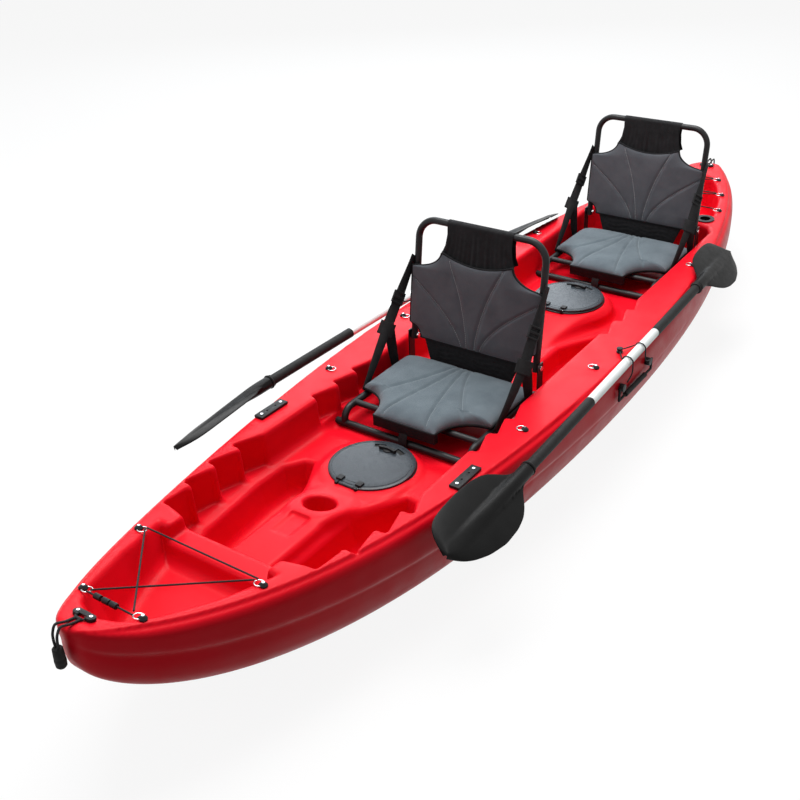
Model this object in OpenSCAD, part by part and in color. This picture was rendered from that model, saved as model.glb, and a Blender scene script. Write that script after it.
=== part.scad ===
// Sit-on-top tandem kayak with two framed folding seats and two paddles, in millimetres.
// +X is the bow, +Y is port and +Z is up; the origin is on the flat keel at mid-length.

/* [Hull] */
// Overall length of the moulded hull
hull_l = 3700; // [3500:10:3900]
// Beam at the widest station
hull_w = 860; // [830:5:900]
// Rail height above the keel amidships
rail_h = 302; // [290:1:330]
// Rise of the bow above the rail
bow_rise = 123; // [90:1:140]
// Rise of the stern above the rail
stern_rise = 50; // [30:1:80]
// Moulded wall thickness
wall = 5; // [4:0.5:7]
// Length over which the keel rises to the bow
bow_foot_l = 1200; // [1100:10:1300]
// Height that the keel rises to at the bow
bow_foot_h = 360; // [330:5:370]
// Length over which the keel rises to the stern
stern_foot_l = 400; // [300:10:500]
// Height that the keel rises to at the stern
stern_foot_h = 240; // [180:5:260]

/* [Cockpit] */
// Height of the seat floor above the keel
floor_z = 181; // [165:1:195]
// Height of the footwell floor above the keel
well_z = 98; // [85:1:120]
// Room from the seats' side tubes to the cockpit wall
cockpit_gap = 40; // [36:1:46]
// Forward end of the cockpit
cockpit_front = 1345; // [1320:5:1360]
// After end of the cockpit
cockpit_back = -1180; // [-1200:5:-1160]
// Height of the front spine with the cup holder
spine_z = 232; // [220:1:245]
// Radius of the cup holder
cup_r = 43; // [38:1:46]
// Radius of the scupper bores
scupper_r = 16; // [12:0.5:18]

/* [Hatches] */
// Outer radius of the hatch rim
hatch_r = 129; // [120:1:134]
// Station of the front hatch
front_hatch_x = 778; // [770:1:785]
// Station of the middle hatch
mid_hatch_x = -445; // [-470:1:-420]
// Height of the deck under the front hatch
front_hatch_z = 200; // [195:1:205]
// Height of the deck under the middle hatch
mid_hatch_z = 235; // [225:1:245]
// Thickness of the hatch lid
lid_t = 5; // [4:0.5:7]

/* [Seats] */
// Radius of the seat tubes
tube_r = 11; // [10:0.5:12]
// Wall of the seat tubes
tube_t = 1.6; // [1.2:0.1:2.5]
// Half distance between the side tubes
seat_half = 222; // [214:1:226]
// Station of the front seat's back hinge
seat_x = 222; // [212:1:232]
// Distance between the two seats
seat_step = 1290; // [1280:1:1300]
// Height of the hinge above the seat floor
hinge_up = 147; // [145:1:155]
// Lean of the backrest in degrees
lean = 7; // [4:0.5:10]
// Height of the backrest above its hinge
back_h = 397; // [380:1:420]
// Length of the seat cushion
pad_l = 365; // [350:1:370]
// Thickness of the seat cushion
pad_t = 44; // [38:1:46]

/* [Paddles] */
// Overall length of a paddle
paddle_l = 2120; // [2080:10:2200]
// Radius of the paddle shaft
shaft_r = 15; // [14:0.25:16]
// Length of a blade with its socket
blade_l = 400; // [380:5:420]
// Half width of a blade
blade_w = 90; // [80:1:95]
// Tilt of the stowed blades in degrees
blade_tilt = 32; // [25:1:40]

/* [Fittings] */
// Radius of the rod holder bore
rod_r = 21; // [19:0.5:23]
// Radius of the bungee cord
bungee_r = 2.2; // [1.8:0.1:3]
// Clearance between pieces that fit together
fit = 0.4; // [0.3:0.05:0.6]

/* [Hidden] */
$fn = 48;
half_l = hull_l / 2;
half_w = hull_w / 2;
cockpit_w = seat_half + cockpit_gap;
hinge_z = floor_z + hinge_up;
bar_r = tube_r + 0.8;
bar_z = floor_z + bar_r + fit;
frame_z = bar_z + 45;
pad_z = frame_z + tube_r + fit;
sides = [1, -1];
seats = [0, -seat_step];
paddle_x = 35;
paddle_z = rail_h + shaft_r - 11.5;
paddle_yaw = 1.8;
sleeve_t = 1;
sleeve_in = 255;
ring_at = paddle_l / 2 - blade_l - 18;
ring_gap = 4.656;
paddle_y = beam(paddle_x - ring_at) + ring_at * tan(paddle_yaw) + ring_gap;
bare_end = paddle_l / 2 - blade_l + 60;
handle_x = -42;
handle_half = 100;
keeper_gap = 1.8;
rod_x = cockpit_back - 55;
rod_y = 205;
end_x = half_l - 62;
bow_eyes = [[fore(135), 92], [fore(391), 198]];
rail_eyes = [[520, 347], [90, 359], [-795, 325]];
stern_eyes = [[aft(510), 224], [aft(350), 176], [aft(200), 106]];
eyes = concat(bow_eyes, rail_eyes, stern_eyes);
plate_x = 814;
plate_y = 332;

// Plan, sheer and keel lines of the hull
function share(x) = min(abs(x) / half_l, 0.9985);
function beam(x) = half_w * pow(1 - pow(share(x), 2.05), 0.6);
function sheer_line(x) = rail_h
  + (x > 0 ? bow_rise * pow(share(x), 4.5) : stern_rise * pow(share(x), 3));
function keel(x) = let(l = x > 0 ? bow_foot_l : stern_foot_l, u = max(0, (abs(x) - half_l + l) / l))
  (x > 0 ? bow_foot_h : stern_foot_h) * (1 - sqrt(max(0, 1 - u * u)));
// Stations a distance from the bow or the stern, drawn in with the deck beyond the cockpit
function fore(d) = half_l - d * (half_l - cockpit_front) / 505;
function aft(d) = -half_l + d * (half_l + cockpit_back) / 670;
stations = [for (i = [-20:20]) (half_l - 5) * sin(i * 4.5)];
rail_line = [for (x = stations) [x, sheer_line(x)]];
function rail(x) = lookup(x, rail_line);
function slope(x) = atan((rail(x + 1) - rail(x - 1)) / 2);
function parting(x) = (sheer_line(x) + keel(x)) / 2;

function half_section(x, g) = let(
    b = max(beam(x) - g, 7),
    s = sheer_line(x) - g,
    k = keel(x) + g,
    h = s - k,
    c = min(30, b * 0.22)
  ) [[0, k], [0.42 * b, k], [0.63 * b, k + 0.025 * h], [0.79 * b, k + 0.09 * h],
    [0.895 * b, k + 0.22 * h], [0.95 * b, k + 0.4 * h], [0.975 * b, k + 0.52 * h],
    [b - 2, k + 0.6 * h], [b, s - 0.15 * h], [b - 0.37 * c, s - 0.045 * h],
    [b - c, s], [0, s]];

function ring_of(half) = concat(half,
  [for (i = [len(half) - 2:-1:1]) [-half[i][0], half[i][1]]]);

// Skins a stack of equal rings into one closed solid
module skin(rings) {
  n = len(rings[0]);
  m = len(rings);
  polyhedron(
    points = [for (r = rings) each r],
    faces = concat(
      [[for (i = [0:n - 1]) i]],
      [for (k = [0:m - 2]) for (i = [0:n - 1]) let(j = (i + 1) % n)
        each [[k * n + i, (k + 1) * n + i, (k + 1) * n + j],
          [k * n + i, (k + 1) * n + j, k * n + j]]],
      [[for (i = [n - 1:-1:0]) (m - 1) * n + i]]),
    convexity = 8);
}

module body(g) {
  skin([for (x = stations) let(xx = x * (half_l - 5 - g) / (half_l - 5))
    [for (p = ring_of(half_section(x, g))) [xx, p[0], p[1]]]]);
}

module below_parting() {
  rotate([90, 0, 0])
    linear_extrude(hull_w * 1.5, center = true)
      polygon(concat([[-half_l - 50, -100]],
        [[-half_l - 50, parting(-half_l)]],
        [for (i = [-10:9]) let(x = half_l * sin(i * 9 + 2)) [x, parting(x)]],
        [[half_l + 50, parting(half_l)]],
        [[half_l + 50, -100]]));
}

// Moves each corner of a counter-clockwise outline outwards by d
function unit(v) = v / max(norm(v), 1e-9);
function grown(p, d) = let(n = len(p)) [for (i = [0:n - 1]) let(
    a = unit(p[i] - p[(i + n - 1) % n]),
    b = unit(p[(i + 1) % n] - p[i]),
    na = [a[1], -a[0]],
    nb = [b[1], -b[0]]
  ) p[i] + d * (na + nb) / max(0.4, 1 + na * nb)];

function level(p, z) = [for (q = p) [q[0], q[1], z]];
function mirrored(p) = concat(p, [for (i = [len(p) - 1:-1:0]) [p[i][0], -p[i][1]]]);
function reversed(p) = [for (i = [len(p) - 1:-1:0]) p[i]];

// A drafted hollow: its outline holds at height z_ref
module basin(outline, z_floor, z_ref, z_top, draft, g) {
  up = draft * (z_top - z_ref) / (z_ref - z_floor);
  skin([reversed(level(grown(outline, g + up), z_top)),
    reversed(level(grown(outline, g - draft), z_floor - g))]);
}

function side_w(x) = lookup(x, [[600, cockpit_w], [1020, cockpit_w + 6], [1120, cockpit_w],
  [1230, cockpit_w - 14], [cockpit_front, cockpit_w - 50]]);
cockpit_side = concat(
  [[cockpit_back, 60 - cockpit_w], [cockpit_back + 16, 20 - cockpit_w], [cockpit_back + 50, -cockpit_w]],
  [for (x = [-1000:200:1000]) [x, -side_w(x)]],
  [for (x = [1110, 1200, cockpit_front - 60]) [x, -side_w(x)]],
  [[cockpit_front - 12, -side_w(cockpit_front) + 4], [cockpit_front, -side_w(cockpit_front) + 45]]);
front_well = [[cockpit_front - 12, 92], [cockpit_front - 12, 168], [1240, 205], [1000, 228],
  [900, 224], [845, 190], [840, 165], [935, 118], [1000, 92]];
rear_well = [[150, 95], [150, 200], [110, 224], [-260, 224], [-330, 205], [-345, 190],
  [-250, 130], [-180, 95]];
bow_well = [[fore(447), 190], [fore(300), 150], [fore(165), 92], [fore(112), 50], [fore(96), 16]];
stern_well = [[aft(560), 218], [aft(400), 178], [aft(260), 118], [aft(185), 70], [aft(168), 20]];
front_steps = [1335, 1231, 1123, 1019];
seat_steps = [684, 578, 484];
rear_steps = [-137, -252, -351];

module spine(g) {
  hull()
    for (x = [front_hatch_x + hatch_r + 83, cockpit_front + 60]) {
      translate([x, 0, 60])
        cylinder(r = 76 - g, h = spine_z - 66 - g, $fn = 32);
      translate([x + 26, 0, 60])
        cylinder(r = 60 - g, h = spine_z - 60 - g, $fn = 32);
    }
  translate([front_hatch_x, 0, 60])
    cylinder(r1 = hatch_r + 21 - g, r2 = hatch_r + 11 - g, h = front_hatch_z - 60 - g);
}

module hump(g) {
  hull() {
    translate([mid_hatch_x, 0, 60])
      cylinder(r1 = hatch_r + 62 - g, r2 = hatch_r + 32 - g, h = mid_hatch_z - 80 - g, $fn = 40);
    translate([mid_hatch_x, 0, 60])
      cylinder(r = hatch_r + 14 - g, h = mid_hatch_z - 60 - g, $fn = 40);
    translate([-215, 0, 60])
      cylinder(r = 70 - g, h = floor_z - 56 - g, $fn = 24);
  }
}

module step_cut(x, run, depth, z0, s, g) {
  w = side_w(x);
  hull() {
    translate([x - 9, s * (w + depth - 9), z0 - g])
      cylinder(r = 9 + g, h = 400, $fn = 12);
    translate([x - 9, s * (w - 40), z0 - g])
      cylinder(r = 9 + g, h = 400, $fn = 12);
    translate([x - run, s * (side_w(x - run) - 40), z0 - g])
      cylinder(r = 9 + g, h = 400, $fn = 12);
    translate([x - run + 10, s * (side_w(x - run) + 2), z0 - g])
      cylinder(r = 2 + g, h = 400, $fn = 8);
  }
}

module wells(g) {
  difference() {
    basin(mirrored(cockpit_side), floor_z, rail_h, rail_h + 220, 8, g);
    spine(g);
    hump(g);
  }
  for (s = sides) {
    mirror([0, s > 0 ? 0 : 1, 0]) {
      basin(front_well, well_z, floor_z, floor_z + 12, 16, g);
      basin(rear_well, well_z, floor_z, floor_z + 12, 16, g);
    }
    for (x = front_steps)
      step_cut(x, 92, 33, floor_z + 22, s, g);
    for (x = seat_steps)
      step_cut(x, 84, 25, floor_z + 34, s, g);
    for (x = rear_steps)
      step_cut(x, 84, 25, floor_z + 34, s, g);
  }
  basin(mirrored(reversed(bow_well)), 240, 340, 560, 24, g);
  basin(mirrored(stern_well), 192, 312, 520, 22, g);
  hull()
    for (x = [cockpit_front - 30, fore(440)], y = [-130, 130])
      translate([x, y, 292 - g])
        cylinder(r = 26 + g, h = 260, $fn = 24);
  translate([1016, 0, 148 - g])
    cylinder(r1 = cup_r - 4 + g, r2 = cup_r + 3 + g, h = 100 + g);
  translate([1138 - 46 - g, -31 - g, spine_z - 6 - g])
    cube([92 + 2 * g, 62 + 2 * g, 60]);
}

scuppers = [[1090, 130], [-40, 130]];

module scupper_holes(r) {
  for (p = scuppers, s = sides)
    translate([p[0], s * p[1], -50])
      cylinder(r = r, h = 200);
}

module hull_pan() {
  color("firebrick")
    difference() {
      intersection() {
        body(0);
        below_parting();
      }
      body(wall);
      scupper_holes(scupper_r + 4 + fit);
      // Tracking grooves on each side of the flat keel
      for (x = [-1150, 50], y = [-125, -75, 75, 125])
        hull()
          for (e = [0, 1100])
            translate([x + e, y, -7])
              sphere(r = 7 + wall / 2, $fn = 12);
    }
}

module deck() {
  color("red")
    difference() {
      union() {
        difference() {
          body(0);
          body(wall);
          below_parting();
        }
        intersection() {
          body(wall * 0.6);
          wells(wall);
        }
      }
      wells(0);
      scupper_holes(scupper_r + 4 + fit);
      for (h = [[front_hatch_x, front_hatch_z], [mid_hatch_x, mid_hatch_z]])
        translate([h[0], 0, h[1] - 40])
          cylinder(r = hatch_r - 25 + fit, h = 80);
      for (s = sides)
        translate([rod_x, s * rod_y, 200])
          cylinder(r = rod_r + 3 + fit, h = 200);
      translate([rod_x, 0, 250])
        cylinder(r = 12 + fit, h = 150);
    }
  // Studs on the recessed floor ahead of the cup holder
  color("red")
    for (x = [-26, 26], y = [-17, 17])
      translate([1138 + x, y, spine_z - 6 - wall])
        cylinder(r1 = 6, r2 = 4, h = wall + 3, $fn = 16);
}

module scupper_tubes() {
  color("firebrick")
    for (p = scuppers, s = sides)
      let(z = keel(p[0]) + 0.5)
      translate([p[0], s * p[1], z])
        difference() {
          cylinder(r = scupper_r + 4, h = well_z - z);
          translate([0, 0, -5])
            cylinder(r = scupper_r, h = well_z + 10);
        }
}

// Stands a piece on the rail top at station x
module on_rail(x, y, up = 0.3) {
  translate([x, y, rail(x)])
    rotate([0, -slope(x), 0])
      translate([0, 0, up])
        children();
}

module drain_plug() {
  color("black")
    on_rail(rod_x, 0) {
      cylinder(r = 19, h = 5);
      translate([0, 0, -18])
        cylinder(r = 12, h = 18.5);
      translate([-14, -3, 4.5])
        cube([28, 6, 6]);
    }
}

module rod_holders() {
  color("black")
    for (s = sides)
      on_rail(rod_x, s * rod_y)
        difference() {
          union() {
            cylinder(r = rod_r + 15, h = 4);
            translate([0, 0, -150])
              cylinder(r = rod_r + 3, h = 151);
          }
          translate([0, 0, -146])
            cylinder(r = rod_r, h = 160);
        }
}

// Hatches
module hatch_rim(x, z) {
  hx = hatch_r - 8;
  translate([x, 0, z]) {
    difference() {
      union() {
        rotate_extrude($fn = 96)
          polygon([[hatch_r - 29, -22], [hatch_r - 25, -22], [hatch_r - 25, fit],
            [hatch_r, fit], [hatch_r, 4], [hatch_r - 3, 6], [hatch_r - 29, 6]]);
        for (s = sides)
          translate([hx - 5, s * 33 - 4, 4])
            cube([12, 8, 12]);
      }
      translate([hx, 0, 11])
        rotate([90, 0, 0])
          cylinder(r = 2.2 + 0.1, h = 100, center = true);
    }
    // Inner lip that the turned latch cam catches
    rotate_extrude($fn = 96)
      polygon([[hatch_r - 36, -21], [hatch_r - 28, -21], [hatch_r - 28, -17], [hatch_r - 36, -17]]);
  }
}

module hatch_rims() {
  color("dimgray") {
    hatch_rim(front_hatch_x, front_hatch_z);
    hatch_rim(mid_hatch_x, mid_hatch_z);
  }
}

module hatch_seals() {
  color("black")
    for (h = [[front_hatch_x, front_hatch_z], [mid_hatch_x, mid_hatch_z]])
      translate([h[0], 0, h[1] + 6 + 0.05])
        rotate_extrude($fn = 96)
          translate([hatch_r - 22, 0])
            square([6, 2.4]);
}

module hatch_lid(x, z) {
  hx = hatch_r - 8;
  lid_r = hatch_r - 15;
  color("slategray")
    translate([x, 0, z])
      difference() {
        union() {
          translate([0, 0, 6 + 3])
            rotate_extrude($fn = 96)
              polygon([[0, 0], [lid_r, 0], [lid_r, lid_t - 2], [lid_r - 4, lid_t], [0, lid_t + 2]]);
          translate([60, -27, 9])
            cube([hx - 60, 54, lid_t]);
          translate([hx, 0, 11])
            rotate([90, 0, 0])
              cylinder(r = 4.6, h = 54, center = true);
        }
        translate([hx, 0, 11])
          rotate([90, 0, 0])
            cylinder(r = 2.2 + fit, h = 100, center = true);
        translate([-lid_r + 34, 0, -20])
          cylinder(r = 6 + fit, h = 60);
      }
}

module front_hatch_lid() {
  hatch_lid(front_hatch_x, front_hatch_z);
}

module mid_hatch_lid() {
  hatch_lid(mid_hatch_x, mid_hatch_z);
}

module hatch_latch(x, z) {
  lid_r = hatch_r - 15;
  color("black")
    translate([x - lid_r + 34, 0, z]) {
      translate([0, 0, 9 + lid_t + 0.9])
        cylinder(r = 15, h = 5);
      translate([-4, -13, 9 + lid_t + 5.5])
        cube([8, 26, 7]);
      translate([0, 0, -29])
        cylinder(r = 6, h = 9 + lid_t + 32);
      translate([-7, -17, -29])
        cube([14, 23, 5]);
    }
}

module front_hatch_latch() {
  hatch_latch(front_hatch_x, front_hatch_z);
}

module mid_hatch_latch() {
  hatch_latch(mid_hatch_x, mid_hatch_z);
}

// Pad eyes: a low dome bridges a steel ring
module at_eyes() {
  for (e = eyes, s = sides)
    on_rail(e[0], s * e[1])
      rotate([0, 0, s > 0 ? -90 : 90])
        children();
}

module pad_eyes() {
  color("black")
    at_eyes()
      difference() {
        union() {
          cylinder(r = 11, h = 3);
          translate([0, 0, 2.9])
            cylinder(r1 = 11, r2 = 6, h = 5.5);
        }
        translate([-2.2, -20, -1])
          cube([9.2, 40, 5.4]);
        cylinder(r = 2.2, h = 30);
      }
}

module pad_eye_rings() {
  color("silver")
    at_eyes()
      translate([12, 0, 2.2])
        rotate_extrude($fn = 40)
          translate([12, 0])
            circle(r = 1.5, $fn = 16);
}

module screw(r, h) {
  cylinder(r = r, h = 1.6);
  translate([0, 0, -h])
    cylinder(r = r * 0.5, h = h + 0.1);
}

module deck_screws() {
  color("silver") {
    for (e = eyes, s = sides)
      on_rail(e[0], s * e[1], 8.8)
        screw(3.6, 1.6);
    for (k = sides, s = sides)
      on_rail(k * end_x, s * 20, 8.4)
        screw(4, 2);
    for (s = sides, k = sides)
      on_rail(plate_x + k * 42, s * plate_y, 8.4)
        screw(4.5, 2);
  }
}

module gear_plates() {
  color("black")
    for (s = sides)
      on_rail(plate_x, s * plate_y)
        difference() {
          translate([-57, -15, 0])
            cube([114, 30, 8]);
          for (k = sides)
            translate([k * 42, 0, -1])
              cylinder(r = 2.5, h = 20);
          for (k = sides)
            translate([k * 18, 0, -1])
              cylinder(r = 3, h = 20);
        }
}

module end_plates() {
  color("black")
    for (k = sides)
      on_rail(k * end_x, 0)
        difference() {
          union() {
            for (s = sides)
              translate([0, s * 20, 0])
                cylinder(r = 11, h = 8);
            translate([-11, -20, 0])
              cube([22, 40, 8]);
          }
          translate([-20, -12, -1])
            cube([40, 24, 6.6]);
          translate([k * 14, 0, 0])
            cube([20, 24, 40], center = true);
          for (s = sides)
            translate([0, s * 20, -1])
              cylinder(r = 2.2, h = 20);
        }
}

// A round cord through a list of points
module cord(p, r, n = 48) {
  $fn = n;
  for (i = [0:len(p) - 2])
    let(d = p[i + 1] - p[i])
      translate(p[i])
        rotate([0, acos(d[2] / norm(d)), atan2(d[1], d[0])])
          cylinder(r = r, h = norm(d));
  if (len(p) > 2)
    for (i = [1:len(p) - 2])
      translate(p[i])
        sphere(r = r * 1.06);
}

// A point on the inboard half of a pad eye's ring, dx along the rail from the eye
function eye_point(e, s, up, dx = 0) =
  [e[0] + dx, s * (e[1] - 12 - sqrt(144 - dx * dx)), rail(e[0] + dx) + up];

module bow_bungee() {
  f = bow_eyes[0];
  b = bow_eyes[1];
  color("black") {
    cord([eye_point(f, -1, 7), eye_point(b, 1, 7)], bungee_r);
    cord([eye_point(b, -1, 12), eye_point(f, 1, 12)], bungee_r);
    cord([eye_point(b, -1, 6.6, -8), eye_point(b, 1, 6.6, -8)], bungee_r);
    cord([eye_point(f, -1, 6.6, 8), eye_point(f, 1, 6.6, 8)], bungee_r);
  }
}

module bungee_locks() {
  f = bow_eyes[0];
  a = eye_point(f, -1, 6.6, 8);
  w = eye_point(f, 1, 6.6)[1];
  color("black")
    for (k = [-0.5, -0.12, 0.22])
      translate([a[0], k * w, a[2]])
        rotate([90, 0, 0])
          difference() {
            cylinder(r = 7, h = 20, center = true);
            cylinder(r = bungee_r + fit, h = 40, center = true);
          }
}

module stern_bungee() {
  a = stern_eyes[0];
  b = stern_eyes[1];
  c = stern_eyes[2];
  color("black") {
    cord([eye_point(a, -1, 6.8), eye_point(a, 1, 6.8)], bungee_r);
    cord([eye_point(a, -1, 6.6, -8), eye_point(b, 1, 6.6, 8)], bungee_r);
    cord([eye_point(b, -1, 6.8), eye_point(b, 1, 6.8)], bungee_r);
    cord([eye_point(b, -1, 6.6, -8), eye_point(c, 1, 6.6, 8)], bungee_r);
    cord([eye_point(c, -1, 6.8), eye_point(c, 1, 6.8)], bungee_r);
  }
}

// End carry handles: two strands and a toggle hang over the stem
function strand(k, s) = let(x = end_x + 15, z = rail(k * (half_l - 5))) [
  [k * x, s * 7, rail(k * x) + 3.4], [k * (x + 26), s * 7.5, rail(k * (x + 26)) + 11],
  [k * (half_l + 2), s * 8, z + 9], [k * (half_l + 13), s * 7, z - 5],
  [k * (half_l + 16), s * 6, z - 22], [k * (half_l + 16), s * 5, z - 40]];

module handle_cord(k) {
  color("black")
    for (s = sides)
      cord(strand(k, s), 3, 10);
}

module bow_handle_cord() {
  handle_cord(1);
}

module stern_handle_cord() {
  handle_cord(-1);
}

module toggle(k) {
  p = strand(k, 0);
  color("black")
    translate([p[5][0], 0, p[5][2] - 52.2])
      difference() {
        rotate_extrude()
          polygon([[0, 0], [9, 0], [12, 4], [13, 16], [12, 40], [11.5, 50], [10, 52], [0, 52]]);
        for (z = [12, 26])
          translate([0, 0, z])
            rotate_extrude()
              translate([13.6, 0])
                square([2.4, 6], center = true);
      }
}

module bow_toggle() {
  toggle(1);
}

module stern_toggle() {
  toggle(-1);
}

// Side carry handles and paddle keepers
handle_y = beam(handle_x) + 9;
handle_z = rail_h - 62;

module handle_anchors() {
  color("black")
    for (s = sides, k = sides)
      let(x = handle_x + k * handle_half, y = beam(x) + fit)
      translate([x, s * y, handle_z])
        rotate([s > 0 ? -90 : 90, 0, 0])
          difference() {
            cylinder(r = 13, h = handle_y + 6.2 - y);
            translate([0, 0, handle_y - y])
              rotate([0, 90, 0])
                cylinder(r = 4 + fit, h = 60, center = true);
          }
}

module side_handle(s) {
  y0 = s * handle_y;
  r = 36;
  w = handle_half + 22;
  color("black")
    difference() {
      union() {
        for (k = sides) {
          translate([handle_x + k * (handle_half + 3), y0, handle_z])
            rotate([0, 90, 0])
              cylinder(r = 4, h = 44, center = true);
          translate([handle_x + k * w, y0, handle_z - 18])
            cylinder(r = 4, h = 36, center = true);
          translate([handle_x + k * w, y0, handle_z])
            sphere(r = 4.001);
          translate([handle_x + k * w, y0, handle_z - r])
            sphere(r = 4.001);
        }
        translate([handle_x, y0, handle_z - r])
          rotate([0, 90, 0])
            cylinder(r = 4, h = 2 * w, center = true);
        translate([handle_x, y0, handle_z - r])
          rotate([0, 90, 0])
            cylinder(r = 8.2, h = 150, center = true);
      }
      translate([handle_x, y0, handle_z - r])
        rotate([0, 90, 0])
          cylinder(r = 2, h = 100, center = true);
    }
}

module port_handle() {
  side_handle(1);
}

module starboard_handle() {
  side_handle(-1);
}

module keeper_buttons() {
  color("black")
    for (s = sides)
      on_rail(handle_x, s * (half_w - 52)) {
        cylinder(r = 10, h = 5);
        translate([0, 0, 4.9])
          cylinder(r = 6, h = 6);
        translate([0, 0, 10.8])
          cylinder(r = 10, h = 5);
      }
}

function paddle_at(x) = [x, paddle_y + (x - paddle_x) * tan(paddle_yaw), paddle_z];

module keeper(s) {
  color("black")
    for (k = sides) {
      x = handle_x + k * 52;
      c = paddle_at(x);
      r = shaft_r + bungee_r + keeper_gap;
      o = [for (a = [150, 115, 80, 45, 10]) [x, s * (c[1] + r * cos(a)), c[2] + r * sin(a)]];
      cord(concat([[handle_x + k * 11, s * (half_w - 46), rail_h + 8.5]], o,
        [[x, s * (handle_y + 7), handle_z + 30],
          [handle_x + k * (handle_half - 16), s * (handle_y + 7), handle_z + 14]]), bungee_r, 10);
    }
}

module port_keeper() {
  keeper(1);
}

module starboard_keeper() {
  keeper(-1);
}

// Seat frames: bent tubes in the fore-and-aft plane
module elbow(r, bend, a0, angle) {
  rotate([90, 0, 0])
    rotate([0, 0, a0])
      rotate_extrude(angle = angle)
        translate([bend, 0])
          circle(r = r);
}

bar_half = cockpit_w - 18;
seat_back_x = seat_x - 12;
seat_front_x = seat_x + pad_l + 25;
bend = 34;

module side_tube(r) {
  l = seat_front_x - seat_back_x - 2 * bend;
  translate([seat_back_x + bend, 0, frame_z])
    rotate([0, 90, 0])
      cylinder(r = r, h = l);
  for (k = [0, 1])
    translate([k ? seat_front_x - bend : seat_back_x + bend, 0, frame_z - bend])
      elbow(r, bend, k ? 0 : 90, 90);
  for (x = [seat_back_x, seat_front_x])
    translate([x, 0, bar_z])
      cylinder(r = r, h = frame_z - bend - bar_z);
}

module cross_tube(x, z, half, r) {
  translate([x, 0, z])
    rotate([90, 0, 0])
      cylinder(r = r, h = 2 * half, center = true);
}

module seat_frame() {
  color("black")
    difference() {
      union() {
        for (s = sides)
          translate([0, s * seat_half, 0]) {
            side_tube(tube_r);
            translate([seat_x - 15, s > 0 ? tube_r + 0.6 : -tube_r - 4.6, frame_z - 8])
              cube([30, 4, hinge_z - frame_z + 24]);
            translate([seat_x + 30, s > 0 ? 0 : -tube_r - 4.6, frame_z - 5])
              cube([14, tube_r + 4.6, 10]);
            translate([seat_x + 14, s > 0 ? tube_r + 0.6 : -tube_r - 4.6, frame_z - 5])
              cube([18, 4, 10]);
          }
        for (x = [seat_back_x, seat_front_x])
          cross_tube(x, bar_z, bar_half, bar_r);
        for (x = [seat_front_x - 56, seat_back_x + 86])
          cross_tube(x, frame_z + 0.6, seat_half, tube_r - 1);
      }
      for (s = sides)
        translate([0, s * seat_half, 0])
          side_tube(tube_r - tube_t);
      for (x = [seat_back_x, seat_front_x])
        cross_tube(x, bar_z, bar_half + 1, bar_r - tube_t);
      for (x = [seat_front_x - 56, seat_back_x + 86])
        cross_tube(x, frame_z + 0.6, seat_half, tube_r - 1 - tube_t);
      translate([seat_x, 0, hinge_z])
        rotate([90, 0, 0])
          cylinder(r = 4 + 0.1, h = 3 * seat_half, center = true);
    }
}

module front_seat_frame() {
  seat_frame();
}

module rear_seat_frame() {
  translate([seats[1], 0, 0])
    seat_frame();
}

module seat_bar_caps() {
  color("black")
    for (d = seats, s = sides, x = [seat_back_x, seat_front_x])
      translate([x + d, s * (bar_half + 0.2), bar_z])
        rotate([s > 0 ? -90 : 90, 0, 0]) {
          cylinder(r = bar_r, h = 8);
          translate([0, 0, -16])
            cylinder(r = bar_r - tube_t - fit / 2, h = 16.5);
        }
}

module hinge_pins() {
  color("silver") {
    for (h = [[front_hatch_x, front_hatch_z], [mid_hatch_x, mid_hatch_z]])
      translate([h[0] + hatch_r - 8, 0, h[1] + 11])
        rotate([90, 0, 0])
          cylinder(r = 2.2, h = 78, center = true);
    for (d = seats, s = sides)
      translate([seat_x + d, s * seat_half, hinge_z])
        rotate([s > 0 ? -90 : 90, 0, 0]) {
          translate([0, 0, -tube_r - 4])
            cylinder(r = 4, h = 2 * tube_r + 9);
          translate([0, 0, tube_r + 5])
            cylinder(r = 8, h = 4);
          translate([0, 0, -tube_r - 6])
            cylinder(r = 7, h = 5);
        }
  }
}

module leaned(d) {
  translate([seat_x + d, 0, hinge_z])
    rotate([0, -lean, 0])
      children();
}

top_bend = 62;

module back_tube(r, more) {
  for (s = sides)
    translate([0, s * seat_half, -14 - more])
      cylinder(r = r, h = back_h - tube_r - top_bend + 14 + more);
  translate([0, 0, back_h - tube_r])
    rotate([90, 0, 0])
      cylinder(r = r, h = 2 * (seat_half - top_bend), center = true);
  for (s = sides)
    translate([0, s * (seat_half - top_bend), back_h - tube_r - top_bend])
      rotate([0, 0, s > 0 ? 90 : -90])
        elbow(r, top_bend, 0, 90);
}

module back_frame(d) {
  color("black")
    leaned(d)
      difference() {
        back_tube(tube_r, 0);
        back_tube(tube_r - tube_t, 1);
        rotate([90, 0, 0])
          cylinder(r = 4 + fit, h = 3 * seat_half, center = true);
      }
}

module front_back_frame() {
  back_frame(seats[0]);
}

module rear_back_frame() {
  back_frame(seats[1]);
}

// Cushions: a grid of points over an outline, with sewn channels and a drawn-in edge
function edge_rise(v) = pow(max(0, 1 - pow(abs(v), 6)), 0.5);
function channel(d) = exp(-pow(d / 7, 2));

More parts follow.
